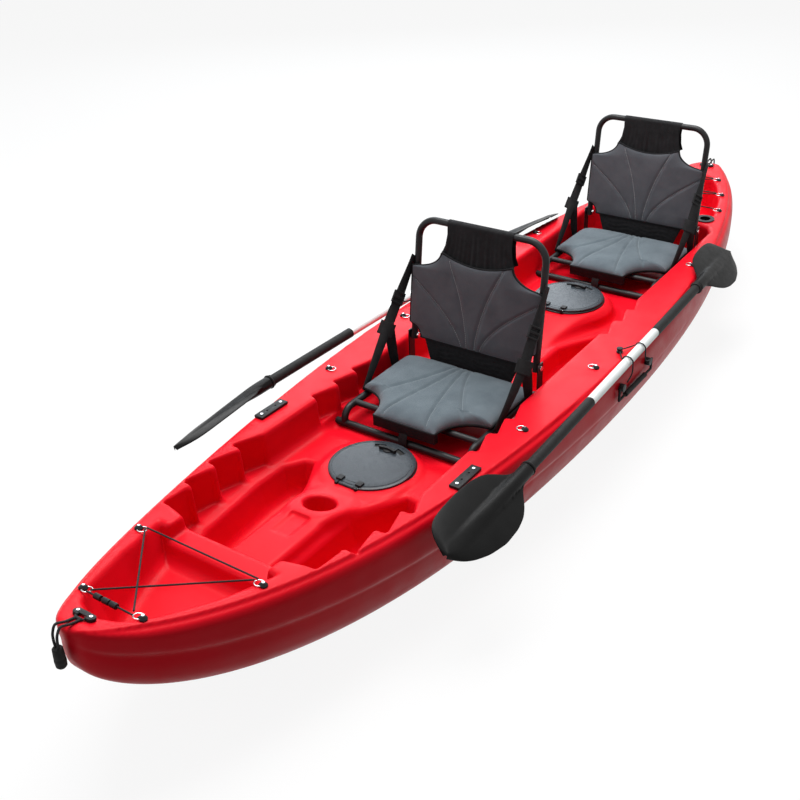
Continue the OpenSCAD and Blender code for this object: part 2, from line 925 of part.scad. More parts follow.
module cushion(us, vs, place) {
  m = len(us);
  n = len(vs);
  top = [for (u = us) for (v = vs) place(u, v, 1)];
  low = [for (u = us) for (v = vs) place(u, v, 0)];
  q = m * n;
  rim = concat([for (j = [0:n - 1]) j], [for (i = [1:m - 1]) i * n + n - 1],
    [for (j = [n - 2:-1:0]) (m - 1) * n + j], [for (i = [m - 2:-1:1]) i * n]);
  polyhedron(
    points = concat(top, low),
    faces = concat(
      [for (i = [0:m - 2]) for (j = [0:n - 2]) let(a = i * n + j)
        each [[a, a + 1, a + n + 1], [a, a + n + 1, a + n]]],
      [for (i = [0:m - 2]) for (j = [0:n - 2]) let(a = q + i * n + j)
        each [[a, a + n + 1, a + 1], [a, a + n, a + n + 1]]],
      [for (k = [0:len(rim) - 1]) let(a = rim[k], b = rim[(k + 1) % len(rim)])
        each [[a, q + a, q + b], [a, q + b, b]]]),
    convexity = 6);
}

vs = [-1, -0.985, -0.94, -0.84, -0.7, -0.55, -0.42, -0.28, -0.14, 0,
  0.14, 0.28, 0.42, 0.55, 0.7, 0.84, 0.94, 0.985, 1];
notch = 118;
seat_us = [0, 0.012, 0.045, 0.12, 0.22, 0.32, 0.43, 0.54, 0.64, 0.678, 0.69, 0.715, 0.76, 0.82,
  0.89, 0.95, 0.985, 1];
pad_half = seat_half + 4;
function seat_w(u) = let(k = pad_l * (1 - u))
  k < notch ? pad_half - sqrt(max(0, notch * notch - k * k)) : pad_half;
function seat_seam(u, y) = max([for (c = [-1, -0.36, 0.36, 1])
  channel(abs(y) > 0.96 * seat_w(u) ? 99 : y - c * (26 + 190 * pow(u, 1.5)))]);
seat_pad_x = seat_x + 33;
seat_place = function (u, v, t)
  let(w = seat_w(u), y = v * w, rise = edge_rise(v) * edge_rise(2 * u - 1),
    x = seat_pad_x + u * pad_l)
  t == 1 ? [x, y, pad_z + 10 + (pad_t - 10) * rise - 6 * rise * seat_seam(u, y)]
    : [x, y, u > 0.955 ? pad_z - 24 : pad_z + 4 * (1 - rise)];

module front_seat_pad() {
  color("lightslategray")
    cushion(seat_us, vs, seat_place);
}

module rear_seat_pad() {
  color("lightslategray")
    translate([seats[1], 0, 0])
      cushion(seat_us, vs, seat_place);
}

// Backrest cushion, drawn upright with its hinge at the origin
pad_low = 4;
pad_top = back_h - 100;
back_half = seat_half + tube_r - 4;
back_us = [-0.13, -0.01, 0, 0.012, 0.03, 0.06, 0.1, 0.14, 0.146, 0.2, 0.3, 0.42, 0.54, 0.66,
  0.76, 0.8, 0.83, 0.88, 0.93, 0.97, 1];
function back_zz(u) = pad_low + u * (pad_top - pad_low);
function back_w(u) = u < 0 ? 150
  : u < 0.145 ? back_half - 44 * sqrt(max(0, 1 - pow(u / 0.145, 2)))
  : u > 0.8 ? back_half - 104 * sqrt(max(0, 1 - pow((1 - u) / 0.2, 2)))
  : back_half;
function back_seam(u, y) = max([for (c = [-1, -0.42, 0.42, 1])
  channel(abs(y) > 0.97 * back_w(u) ? 99 : y - c * (34 + 200 * pow(max(u, 0), 1.7)))]);
back_place = function (u, v, t)
  let(w = back_w(u), y = v * w, e = u < 0 ? 0 : edge_rise(v) * edge_rise(2 * u - 1),
    z = back_zz(u))
  t == 1 ? [tube_r + fit + 8 + 10 * e - 5 * e * back_seam(u, y), y, z]
    : [tube_r + fit, y, z];

module back_pad(d) {
  color("dimgray")
    leaned(d)
      cushion(back_us, reversed(vs), back_place);
}

module front_back_pad() {
  back_pad(seats[0]);
}

module rear_back_pad() {
  back_pad(seats[1]);
}

// Neck panel: a sleeve of cloth over the top tube
module back_neck(d) {
  t = 2.4;
  g = tube_r + fit;
  z = back_h - tube_r;
  drop = 88;
  color("black")
    leaned(d)
      intersection() {
        translate([0, 0, z])
          rotate([90, 0, 0])
            linear_extrude(2 * seat_half, center = true)
              difference() {
                union() {
                  circle(r = g + t);
                  translate([g - 0.2, -drop])
                    square([t + 0.2, drop]);
                  translate([-g - t, -drop])
                    square([t + 0.2, drop]);
                }
                circle(r = g);
                translate([-g, -drop - 1])
                  square([2 * g, drop + 1]);
              }
        translate([-60, 0, 0])
          rotate([90, 0, 90])
            linear_extrude(120)
              polygon([[-112, back_h + 20], [-118, z - 20], [-140, z - 66], [-70, z - 84], [0, z - 87],
                [70, z - 84], [140, z - 66], [118, z - 20], [112, back_h + 20]]);
      }
}

module front_back_neck() {
  back_neck(seats[0]);
}

module rear_back_neck() {
  back_neck(seats[1]);
}

// Webbing: a flat strip between two points, with its face outboard
module strip(a, b, w, t) {
  d = unit(b - a);
  n = unit([0, 1, 0] - d * d[1]);
  m = cross(n, d);
  multmatrix([[d[0], m[0], n[0], a[0]], [d[1], m[1], n[1], a[1]], [d[2], m[2], n[2], a[2]]])
    translate([0, -w / 2, -t / 2])
      cube([norm(b - a), w, t]);
}

strap_y = seat_half + tube_r + 1.8;
function strap_top(s) = [seat_x - sin(lean) * 262 + 2, s * strap_y, hinge_z + cos(lean) * 262];
function strap_mid(s) = [seat_x + 112, s * (strap_y + 10), hinge_z + 78];
function strap_front(s) = [seat_x + 268, s * strap_y, frame_z + 4];
function strap_low(s) = [seat_x + 72, s * (strap_y + 8), floor_z + 12];

module straps(d) {
  color("black")
    translate([d, 0, 0])
      for (s = sides) {
        strip(strap_top(s), strap_mid(s), 25, 2);
        strip(strap_mid(s) + [0, s * 3, 0], strap_front(s), 20, 2);
        strip(strap_mid(s) + [0, s * 6, 0], strap_low(s), 20, 2);
      }
}

module front_straps() {
  straps(seats[0]);
}

module rear_straps() {
  straps(seats[1]);
}

module strap_buckles() {
  color("black")
    for (d = seats, s = sides)
      translate(strap_top(s) + 0.62 * (strap_mid(s) - strap_top(s)) + [d, s * 5, 0])
        rotate([0, 52, 0])
          cube([42, 5, 34], center = true);
}

// Paddles, drawn along +X from the shaft's middle
module stowed(s) {
  mirror([0, s > 0 ? 0 : 1, 0])
    translate([paddle_x, paddle_y, paddle_z])
      rotate([0, 0, paddle_yaw])
        rotate([-blade_tilt, 0, 0])
          children();
}

shaft_t = 1.8;
spigot = 90;

module half_shaft(k) {
  color("silver")
    rotate([0, k > 0 ? 90 : -90, 0])
      difference() {
        union() {
          translate([0, 0, 0.3])
            cylinder(r = shaft_r, h = bare_end - 0.3);
          if (k < 0)
            translate([0, 0, -spigot])
              cylinder(r = shaft_r - shaft_t - fit, h = spigot + 20);
        }
        translate([0, 0, k < 0 ? 20 : -1])
          cylinder(r = shaft_r - shaft_t, h = bare_end + 20);
        translate([0, 0, -spigot - 1])
          cylinder(r = shaft_r - shaft_t - fit - 1.8, h = spigot + 60);
      }
}

module sleeve(k) {
  color("black")
    rotate([0, k > 0 ? 90 : -90, 0])
      translate([0, 0, sleeve_in])
        difference() {
          cylinder(r = shaft_r + sleeve_t, h = bare_end - 60 - sleeve_in - 1);
          translate([0, 0, -1])
            cylinder(r = shaft_r + 0.05, h = bare_end);
        }
}

module drip_ring(k) {
  color("black")
    rotate([0, k > 0 ? 90 : -90, 0])
      translate([0, 0, ring_at])
        difference() {
          rotate_extrude()
            polygon([[shaft_r, 0], [shaft_r + 4, 0], [shaft_r + 4, 6], [shaft_r + 7, 10],
              [shaft_r + 7, 12], [shaft_r + 4, 14], [shaft_r, 14]]);
          translate([0, 0, -1])
            cylinder(r = shaft_r + sleeve_t + fit, h = 20);
        }
}

blade_us = [0, 0.08, 0.15, 0.22, 0.3, 0.4, 0.52, 0.64, 0.76, 0.86, 0.93, 0.975, 1];
blade_vs = [-1, -0.8, -0.5, -0.28, -0.14, 0, 0.14, 0.28, 0.5, 0.8, 1];
function blade_half(u) = lookup(u, [[0, 20], [0.15, 21], [0.22, 40], [0.3, 62], [0.4, 80],
  [0.52, 90], [0.64, 90], [0.76, 84], [0.86, 70], [0.93, 52], [0.975, 32], [1, 12]]) * blade_w / 90;
function blade_ridge(u) = lookup(u, [[0, 19], [0.15, 19], [0.3, 15], [0.6, 8], [0.85, 3.4], [1, 2.4]]);
function blade_bow(u) = 16 * u * u;
function blade_z(u, v, t) = let(w = blade_half(u), y = v * w, r = blade_ridge(u),
    e = sqrt(max(0, 1 - min(1, pow(y / 21, 2)))))
  -blade_bow(u) - 10 * u * v * v + (t > 0 ? 1 : -1) * (2 + (r - 2) * e);

module blade(k) {
  color("black")
    mirror([k > 0 ? 0 : 1, 0, 0])
      translate([paddle_l / 2 - blade_l, 0, 0])
        difference() {
          cushion(blade_us, blade_vs, function (u, v, t)
            [u * blade_l, v * blade_half(u), blade_z(u, v, t)]);
          translate([-1, 0, 0])
            rotate([0, 90, 0])
              cylinder(r = shaft_r + fit, h = 62);
        }
}

module port_front_shaft() {
  stowed(1)
    half_shaft(1);
}

module port_front_sleeve() {
  stowed(1)
    sleeve(1);
}

module port_front_blade() {
  stowed(1)
    blade(1);
}

module port_front_ring() {
  stowed(1)
    drip_ring(1);
}

module port_rear_shaft() {
  stowed(1)
    half_shaft(-1);
}

module port_rear_sleeve() {
  stowed(1)
    sleeve(-1);
}

module port_rear_blade() {
  stowed(1)
    blade(-1);
}

module port_rear_ring() {
  stowed(1)
    drip_ring(-1);
}

module starboard_front_shaft() {
  stowed(-1)
    half_shaft(1);
}

module starboard_front_sleeve() {
  stowed(-1)
    sleeve(1);
}

module starboard_front_blade() {
  stowed(-1)
    blade(1);
}

module starboard_front_ring() {
  stowed(-1)
    drip_ring(1);
}

module starboard_rear_shaft() {
  stowed(-1)
    half_shaft(-1);
}

module starboard_rear_sleeve() {
  stowed(-1)
    sleeve(-1);
}

module starboard_rear_blade() {
  stowed(-1)
    blade(-1);
}

module starboard_rear_ring() {
  stowed(-1)
    drip_ring(-1);
}

hull_pan();
deck();
scupper_tubes();
drain_plug();
hatch_rims();
hatch_seals();
hinge_pins();
pad_eyes();
pad_eye_rings();
deck_screws();
bow_bungee();
stern_bungee();
bungee_locks();
end_plates();
rod_holders();
gear_plates();
handle_anchors();
keeper_buttons();
port_keeper();
starboard_keeper();
front_seat_frame();
rear_seat_frame();
seat_bar_caps();
front_seat_pad();
rear_seat_pad();
front_straps();
rear_straps();
strap_buckles();
front_back_frame();
front_back_pad();
front_back_neck();
rear_back_frame();
rear_back_pad();
rear_back_neck();
front_hatch_lid();
front_hatch_latch();
mid_hatch_lid();
mid_hatch_latch();
bow_handle_cord();
bow_toggle();
stern_handle_cord();
stern_toggle();
port_handle();
starboard_handle();
port_front_shaft();
port_front_sleeve();
port_front_blade();
port_front_ring();
port_rear_shaft();
port_rear_sleeve();
port_rear_blade();
port_rear_ring();
starboard_front_shaft();
starboard_front_sleeve();
starboard_front_blade();
starboard_front_ring();
starboard_rear_shaft();
starboard_rear_sleeve();
starboard_rear_blade();
starboard_rear_ring();
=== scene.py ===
"""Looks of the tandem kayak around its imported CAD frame, in metres: +X bow, +Y port, +Z up."""
import math

import bmesh
import bpy
import numpy as np
import openvdb
from mathutils import Matrix, Vector


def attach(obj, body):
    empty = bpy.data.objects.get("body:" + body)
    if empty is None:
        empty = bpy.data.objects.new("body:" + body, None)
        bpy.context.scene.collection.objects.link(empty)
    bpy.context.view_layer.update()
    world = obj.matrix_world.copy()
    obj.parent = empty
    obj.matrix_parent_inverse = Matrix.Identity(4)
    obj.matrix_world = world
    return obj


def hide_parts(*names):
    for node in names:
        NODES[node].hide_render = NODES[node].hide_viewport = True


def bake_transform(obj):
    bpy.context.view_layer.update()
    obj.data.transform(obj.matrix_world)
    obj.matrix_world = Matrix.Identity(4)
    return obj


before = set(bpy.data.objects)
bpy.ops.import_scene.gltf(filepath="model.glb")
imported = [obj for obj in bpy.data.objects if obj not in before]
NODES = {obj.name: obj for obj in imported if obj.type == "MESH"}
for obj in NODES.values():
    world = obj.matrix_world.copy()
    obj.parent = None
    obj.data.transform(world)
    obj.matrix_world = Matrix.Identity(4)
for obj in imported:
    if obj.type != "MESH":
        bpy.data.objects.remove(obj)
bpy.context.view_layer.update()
SIDES = ((1, "port"), (-1, "starboard"))

# Sizes repeated from part.scad
HALF_L, HALF_W, RAIL_H = 1.850, 0.430, 0.302
BOW_RISE, STERN_RISE = 0.123, 0.050
BOW_FOOT, STERN_FOOT = (1.200, 0.360), (0.400, 0.240)
FLOOR_Z, WELL_Z, COCKPIT_W = 0.181, 0.098, 0.262
COCKPIT_FRONT, COCKPIT_BACK = 1.345, -1.180
SPINE_Z, CUP_R, SCUPPER_R = 0.232, 0.043, 0.016
HATCH_R, FRONT_HATCH_X, MID_HATCH_X = 0.129, 0.778, -0.445
FRONT_HATCH_Z, MID_HATCH_Z = 0.200, 0.235
TUBE_R, SEAT_X, SEAT_STEP = 0.011, 0.222, 1.290
HINGE_Z, LEAN, BACK_H = 0.328, math.radians(7), 0.397
PAD_L, FIT = 0.365, 0.0004
BAR_Z = FLOOR_Z + TUBE_R + 0.0008 + FIT
FRAME_Z = BAR_Z + 0.045
PAD_Z = FRAME_Z + TUBE_R + FIT
PADDLE_L, SHAFT_R, BLADE_L = 2.120, 0.015, 0.400
BLADE_TILT, PADDLE_YAW = math.radians(32), math.radians(1.8)
PADDLE = Vector((0.035, HALF_W - 0.002, RAIL_H + SHAFT_R - 0.0115))
HANDLE_X = -0.042
ROD_X, ROD_Y, ROD_R = COCKPIT_BACK - 0.055, 0.205, 0.021
END_PIVOT_X, END_PIVOT_LIFT = 1.803, 0.0034
STRAND_R, BUNGEE_R, STAPLE_R = 0.003, 0.0022, 0.0022

# Pieces that come in pairs
SEATS = (("front", 0.0), ("rear", -SEAT_STEP))
HATCHES = (("front", FRONT_HATCH_X, FRONT_HATCH_Z), ("mid", MID_HATCH_X, MID_HATCH_Z))


def ease(t):
    """A smooth step from 0 to 1."""
    return t * t * (3 - 2 * t)


def share(x):
    """How far x lies from the middle of the hull towards an end."""
    return np.minimum(np.abs(x) / HALF_L, 0.9985)


def beam(x):
    """Half width of the hull at x."""
    return HALF_W * (1 - share(x) ** 2.05) ** 0.6


def rail(x):
    """Height of the rail at x."""
    return RAIL_H + np.where(np.asarray(x) > 0, BOW_RISE * share(x) ** 4.5, STERN_RISE * share(x) ** 3)


def keel(x):
    """Height of the keel at x."""
    length, height = BOW_FOOT if x > 0 else STERN_FOOT
    u = max(0.0, (abs(x) - HALF_L + length) / length)
    return height * (1 - math.sqrt(max(0.0, 1 - u * u)))


# Camera at the photograph's viewing angle
CAMERA_PLACE = (2.7815, 1.5383, 1.8998)
CAMERA_AIM = (-0.70181, -0.50176, -0.50567)
CAMERA_ROLL = math.radians(-2.166)
CAMERA_LENS, CAMERA_SENSOR, CAMERA_REACH = 48.06, 36.0, 60


def make_camera():
    forward = Vector(CAMERA_AIM).normalized()
    right = forward.cross(Vector((0, 0, 1))).normalized()
    up = right.cross(forward)
    x_axis = right * math.cos(CAMERA_ROLL) + up * math.sin(CAMERA_ROLL)
    y_axis = up * math.cos(CAMERA_ROLL) - right * math.sin(CAMERA_ROLL)
    data = bpy.data.cameras.new("camera")
    data.lens, data.sensor_width = CAMERA_LENS, CAMERA_SENSOR
    data.clip_end = CAMERA_REACH
    camera = bpy.data.objects.new("camera", data)
    turn = Matrix((x_axis, y_axis, -forward)).transposed().to_4x4()
    camera.matrix_world = Matrix.Translation(CAMERA_PLACE) @ turn
    bpy.context.scene.collection.objects.link(camera)
    bpy.context.scene.camera = camera


make_camera()


# Mesh helpers
SHARP_ANGLE = math.radians(35)


def add_mesh(name, verts, faces, body, smooth=True):
    mesh = bpy.data.meshes.new(name)
    mesh.from_pydata([tuple(v) for v in verts], [], [tuple(f) for f in faces])
    mesh.validate()
    if smooth:
        mesh.shade_smooth()
    obj = bpy.data.objects.new(name, mesh)
    bpy.context.scene.collection.objects.link(obj)
    if body:
        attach(obj, body)
    return obj


def apply_modifiers(obj):
    graph = bpy.context.evaluated_depsgraph_get()
    graph.update()
    mesh = bpy.data.meshes.new_from_object(obj.evaluated_get(graph))
    obj.modifiers.clear()
    obj.data = mesh
    return obj


def dress(obj, material):
    obj.data.materials.clear()
    obj.data.materials.append(material)
    return obj


def grid_faces(m, n, wrap_m=False, wrap_n=False):
    faces = []
    for i in range(m if wrap_m else m - 1):
        for j in range(n if wrap_n else n - 1):
            i2, j2 = (i + 1) % m, (j + 1) % n
            faces.append((i * n + j, i2 * n + j, i2 * n + j2, i * n + j2))
    return faces


def smooth_path(points, steps):
    """Catmull-Rom points through the given ones."""
    p = [Vector(q) for q in points]
    p = [p[0] * 2 - p[1]] + p + [p[-1] * 2 - p[-2]]
    out = []
    for a, b, c, d in zip(p, p[1:], p[2:], p[3:]):
        for k in range(steps):
            t = k / steps
            out.append(0.5 * ((2 * b) + (c - a) * t + (2 * a - 5 * b + 4 * c - d) * t * t
                              + (3 * b - 3 * c + d - a) * t ** 3))
    out.append(p[-2])
    return out


def fix_normals(obj):
    bm = bmesh.new()
    bm.from_mesh(obj.data)
    bmesh.ops.recalc_face_normals(bm, faces=bm.faces)
    bm.to_mesh(obj.data)
    bm.free()


def add_rings(name, verts, count, sides, body, closed=False, smooth=True):
    """Rings of points joined one to the next, in a loop or with a cap at each end."""
    faces = grid_faces(count, sides, wrap_m=closed, wrap_n=True)
    if not closed:
        faces.append(tuple(range(sides)))
        faces.append(tuple(reversed(range((count - 1) * sides, count * sides))))
    obj = add_mesh(name, verts, faces, body, smooth)
    fix_normals(obj)
    return obj


def add_tube(name, path, radius, body, sides, closed=False):
    """A round tube along a path."""
    path = [Vector(q) for q in path]
    n = len(path)
    verts = []
    normal = None
    for i, q in enumerate(path):
        a = path[(i - 1) % n] if (i or closed) else q
        b = path[(i + 1) % n] if (i < n - 1 or closed) else q
        d = (b - a).normalized()
        if normal is None:
            normal = Vector((0, 0, 1)) if abs(d.z) < 0.9 else Vector((1, 0, 0))
        normal = (normal - d * normal.dot(d)).normalized()
        side = d.cross(normal)
        for k in range(sides):
            t = 2 * math.pi * k / sides
            verts.append(q + (side * math.cos(t) + normal * math.sin(t)) * radius)
    return add_rings(name, verts, n, sides, body, closed)


def lathe(name, profile, body, x0, sides):
    """A piece turned about the upright line at x0, from (radius, height) pairs."""
    verts = []
    for r, z in profile:
        for k in range(sides):
            t = 2 * math.pi * k / sides
            verts.append((x0 + r * math.cos(t), r * math.sin(t), z))
    return add_rings(name, verts, len(profile), sides, body)


def block(name, lo, hi, body=None):
    """A box between two opposite corners."""
    corners = ((lo[0], lo[1]), (hi[0], lo[1]), (hi[0], hi[1]), (lo[0], hi[1]))
    verts = [(x, y, z) for z in (lo[2], hi[2]) for x, y in corners]
    return add_rings(name, verts, 2, 4, body, smooth=False)


def arc_block(name, centre_x, r0, r1, a0, a1, z0, z1, body=None, steps=14, top_points=1):
    """A block bent about an upright axis, angles in degrees; doubled top points stay sharp when softened."""
    section = [(r0, z0), (r1, z0)] + [(r1, z1)] * top_points + [(r0, z1)] * top_points
    verts = []
    for i in range(steps + 1):
        a = math.radians(a0 + (a1 - a0) * i / steps)
        for r, z in section:
            verts.append((centre_x + r * math.cos(a), r * math.sin(a), z))
    return add_rings(name, verts, steps + 1, len(section), body, smooth=False)


def carve(obj, tools):
    """Cuts each tool out of a piece."""
    for tool in tools:
        cut = obj.modifiers.new("cut", "BOOLEAN")
        cut.operation = "DIFFERENCE"
        cut.solver = "EXACT"
        cut.object = tool
        apply_modifiers(obj)
        bpy.data.objects.remove(tool)


def soften(obj, width, segments=3):
    """Rounds the sharp edges of a piece."""
    bevel = obj.modifiers.new("soft", "BEVEL")
    bevel.width = width
    bevel.segments = segments
    bevel.limit_method = "ANGLE"
    bevel.angle_limit = SHARP_ANGLE
    bevel.harden_normals = False


def split_edges(obj, angle):
    """Shades a piece smooth, apart from its sharp edges."""
    obj.data.shade_smooth()
    obj.modifiers.new("edges", "EDGE_SPLIT").split_angle = angle


# End handle cords, two strands each from the plate over the stem to the toggle
def end_cords():
    cords = []
    for body, toggle, sign in (("bow_handle", "bow_toggle", 1), ("stern_handle", "stern_toggle", -1)):
        root = float(rail(sign * END_PIVOT_X))
        tip = float(rail(sign * 1.845))
        made = []
        for s, side in SIDES:
            points = [(END_PIVOT_X, 0.007 * s, root + END_PIVOT_LIFT), (1.829, 0.0075 * s, root + 0.011),
                      (1.852, 0.008 * s, tip + 0.009), (1.863, 0.007 * s, tip - 0.005),
                      (1.866, 0.006 * s, tip - 0.022), (1.866, 0.005 * s, tip - 0.040)]
            path = [Vector((sign * q.x, q.y, q.z)) for q in smooth_path(points, 6)]
            obj = add_tube(f"{body}_strand_{side}", path, STRAND_R, body, 12)
            made.append(obj)
        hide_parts(f"{body}_cord")
        cords += made
    return cords


CORDS = end_cords()


# The moulded hull: signed distances on a grid, blended with fillets, then skinned
VOXEL = 0.005
MARGIN = 0.024
GRID_TOP = 0.45
END_INSET = 0.005
ABOVE = 9.0
RIM_FILLET, FLOOR_FILLET, END_FILLET = 0.014, 0.03, 0.03
HOLE_FILLET, BOX_FILLET, STEP_FILLET = 0.008, 0.012, 0.01
BOW_WELL_Z, BOW_WELL_TOP = 0.24, 0.34
STERN_WELL_Z, STERN_WELL_TOP = 0.192, 0.312
SADDLE_Z = 0.292
SPINE_R, SPINE_DRAFT = 0.076, 0.1
FLOOR_LIFT, FLOOR_LIFT_X = 0.016, 0.636
CUP_X, CUP_Z = 1.016, 0.148


def smooth_max(a, b, k):
    """The larger of two distances, rounded over a width of k where they meet."""
    h = np.maximum(k - np.abs(a - b), 0) / k
    return np.maximum(a, b) + h * h * k * 0.25


def polygon_distance(px, py, outline):
    """Signed distance in plan to a closed outline, negative inside."""
    best = np.full(np.broadcast(px, py).shape, 1e9, np.float32)
    inside = np.zeros(best.shape, bool)
    n = len(outline)
    for i in range(n):
        (ax, ay), (bx, by) = outline[i], outline[(i + 1) % n]
        ex, ey = bx - ax, by - ay
        t = np.clip(((px - ax) * ex + (py - ay) * ey) / (ex * ex + ey * ey), 0, 1)
        best = np.minimum(best, (px - ax - t * ex) ** 2 + (py - ay - t * ey) ** 2)
        if ay != by:
            cross = ((ay > py) != (by > py)) & (px < (bx - ax) * (py - ay) / (by - ay) + ax)
            inside ^= cross
    return np.where(inside, -np.sqrt(best), np.sqrt(best)).astype(np.float32)


def round_cone(px, py, ax, ra, bx, rb):
    """Signed distance in plan to two circles on the x axis and what spans them."""
    h = np.maximum(np.abs(bx - ax), 1e-6)
    along = (px - ax) * np.sign(bx - ax)
    b = np.clip((ra - rb) / h, -0.999, 0.999)
    a = np.sqrt(1 - b * b)
    k = -b * np.abs(py) + a * along
    away = np.abs(py)
    first = np.sqrt(away ** 2 + along ** 2) - ra
    second = np.sqrt(away ** 2 + (along - h) ** 2) - rb
    mid = away * a + along * b - ra
    return np.where(k < 0, first, np.where(k > a * h, second, mid))


def half_section(x):
    """Half of the hull's section at x: keel, bilge, creased side and stepped rail."""
    b = max(float(beam(x)), 0.007)
    top, low = float(rail(x)), float(keel(x))
    h = top - low
    lip, step = min(0.026, b * 0.2), min(0.011, b * 0.09)
    return [(0, low), (0.42 * b, low), (0.63 * b, low + 0.025 * h), (0.79 * b, low + 0.09 * h),
            (0.895 * b, low + 0.22 * h), (0.945 * b, low + 0.4 * h), (b - 1.05 * step, low + 0.54 * h),
            (b - step, low + 0.58 * h), (b - 0.1 * step, low + 0.63 * h), (b, top - 0.15 * h),
            (b - 0.12 * lip, top - step - 0.06 * h), (b - 0.4 * lip, top - step - 0.01 * h),
            (b - 0.82 * lip, top - step), (b - 0.95 * lip, top - 0.2 * step), (b - 1.06 * lip, top), (0, top)]


def rounded(points):
    """One pass of corner cutting that keeps the two ends."""
    out = [points[0]]
    for (ax, az), (bx, bz) in zip(points, points[1:]):
        out.append((0.78 * ax + 0.22 * bx, 0.78 * az + 0.22 * bz))
        out.append((0.22 * ax + 0.78 * bx, 0.22 * az + 0.78 * bz))
    out.append(points[-1])
    return out


def hull_distance(xs, ys, zs):
    """Distance to the hull's outer form on a grid, slice by slice."""
    out = np.empty((len(xs), len(ys), len(zs)), np.float32)
    far = np.abs(ys)[:, None]
    high = zs[None, :]
    for i, x in enumerate(xs):
        xx = float(np.clip(x, -HALF_L + END_INSET, HALF_L - END_INSET))
        line = rounded(rounded(half_section(xx)))
        mirror = [(-a, b) for a, b in reversed(line)]
        out[i] = polygon_distance(far, high, line + mirror[1:-1])
    end = (np.abs(xs) - (HALF_L - END_INSET))[:, None, None].astype(np.float32)
    return smooth_max(out, end, END_FILLET)


def mirrored(points):
    """A closed outline from its port half."""
    return points + [(x, -y) for x, y in reversed(points)]


def side_w(x):
    """Half width of the cockpit at x."""
    return float(np.interp(x, (0.6, 1.02, 1.12, 1.23, COCKPIT_FRONT),
                           (COCKPIT_W, COCKPIT_W + 0.006, COCKPIT_W, COCKPIT_W - 0.014, COCKPIT_W - 0.05)))


COCKPIT = mirrored([(COCKPIT_BACK, COCKPIT_W - 0.06), (COCKPIT_BACK + 0.016, COCKPIT_W - 0.02),
                    (COCKPIT_BACK + 0.05, COCKPIT_W)]
                   + [(x, side_w(x)) for x in np.arange(-1.0, 1.01, 0.2)]
                   + [(x, side_w(x)) for x in (1.11, 1.2, COCKPIT_FRONT - 0.06)]
                   + [(COCKPIT_FRONT - 0.012, side_w(COCKPIT_FRONT) - 0.004),
                      (COCKPIT_FRONT, side_w(COCKPIT_FRONT) - 0.045)])
FRONT_WELL = [(COCKPIT_FRONT - 0.012, 0.092), (COCKPIT_FRONT - 0.012, 0.168), (1.24, 0.205), (1.0, 0.228),
              (0.9, 0.224), (0.845, 0.19), (0.84, 0.165), (0.935, 0.118), (1.0, 0.092)]
REAR_WELL = [(0.15, 0.095), (0.15, 0.2), (0.11, 0.224), (-0.26, 0.224), (-0.33, 0.205), (-0.345, 0.19),
             (-0.25, 0.13), (-0.18, 0.095)]
BOW_WELL = mirrored([(HALF_L - a, b) for a, b in
                     ((0.447, 0.19), (0.3, 0.15), (0.165, 0.092), (0.112, 0.05), (0.096, 0.016))])
STERN_WELL = mirrored([(-HALF_L + a, b) for a, b in
                       ((0.56, 0.218), (0.4, 0.178), (0.26, 0.118), (0.185, 0.07), (0.168, 0.02))])
STEPS = [(x, 0.092, 0.033, FLOOR_Z + 0.022) for x in (1.335, 1.231, 1.123, 1.019)]
STEPS += [(x, 0.084, 0.025, FLOOR_Z + 0.034) for x in (0.684, 0.578, 0.484, -0.137, -0.252, -0.351)]
SCUPPERS = ((1.09, 0.13), (-0.04, 0.13))


class Field:
    """The grid of distances that the wells are cut into."""

    def __init__(self):
        self.xs = np.arange(-HALF_L - MARGIN, HALF_L + MARGIN + 0.001, VOXEL, dtype=np.float32)
        self.ys = np.arange(-HALF_W - MARGIN, HALF_W + MARGIN + 0.001, VOXEL, dtype=np.float32)
        self.zs = np.arange(-MARGIN, GRID_TOP, VOXEL, dtype=np.float32)
        self.d = hull_distance(self.xs, self.ys, self.zs)

    def cut(self, box, void, k):
        """Takes void(x, y, z) out inside a box, with a fillet of about k at the rim."""
        (x0, x1), (y0, y1) = box
        i0, i1 = np.searchsorted(self.xs, (x0, x1))
        j0, j1 = np.searchsorted(self.ys, (y0, y1))
        x = self.xs[i0:i1, None, None]
        y = self.ys[None, j0:j1, None]
        z = self.zs[None, None, :]
        part = self.d[i0:i1, j0:j1]
        self.d[i0:i1, j0:j1] = smooth_max(part, -void(x, y, z), k)


def basin(outline, z_floor, z_ref, draft):
    """A drafted hollow whose outline holds at height z_ref."""
    def void(x, y, z):
        plan = polygon_distance(x[:, :, 0], y[:, :, 0], outline)[:, :, None]
        wall = plan - draft * (z - z_ref) / (z_ref - z_floor)
        return smooth_max(wall, z_floor - z, FLOOR_FILLET)
    return void


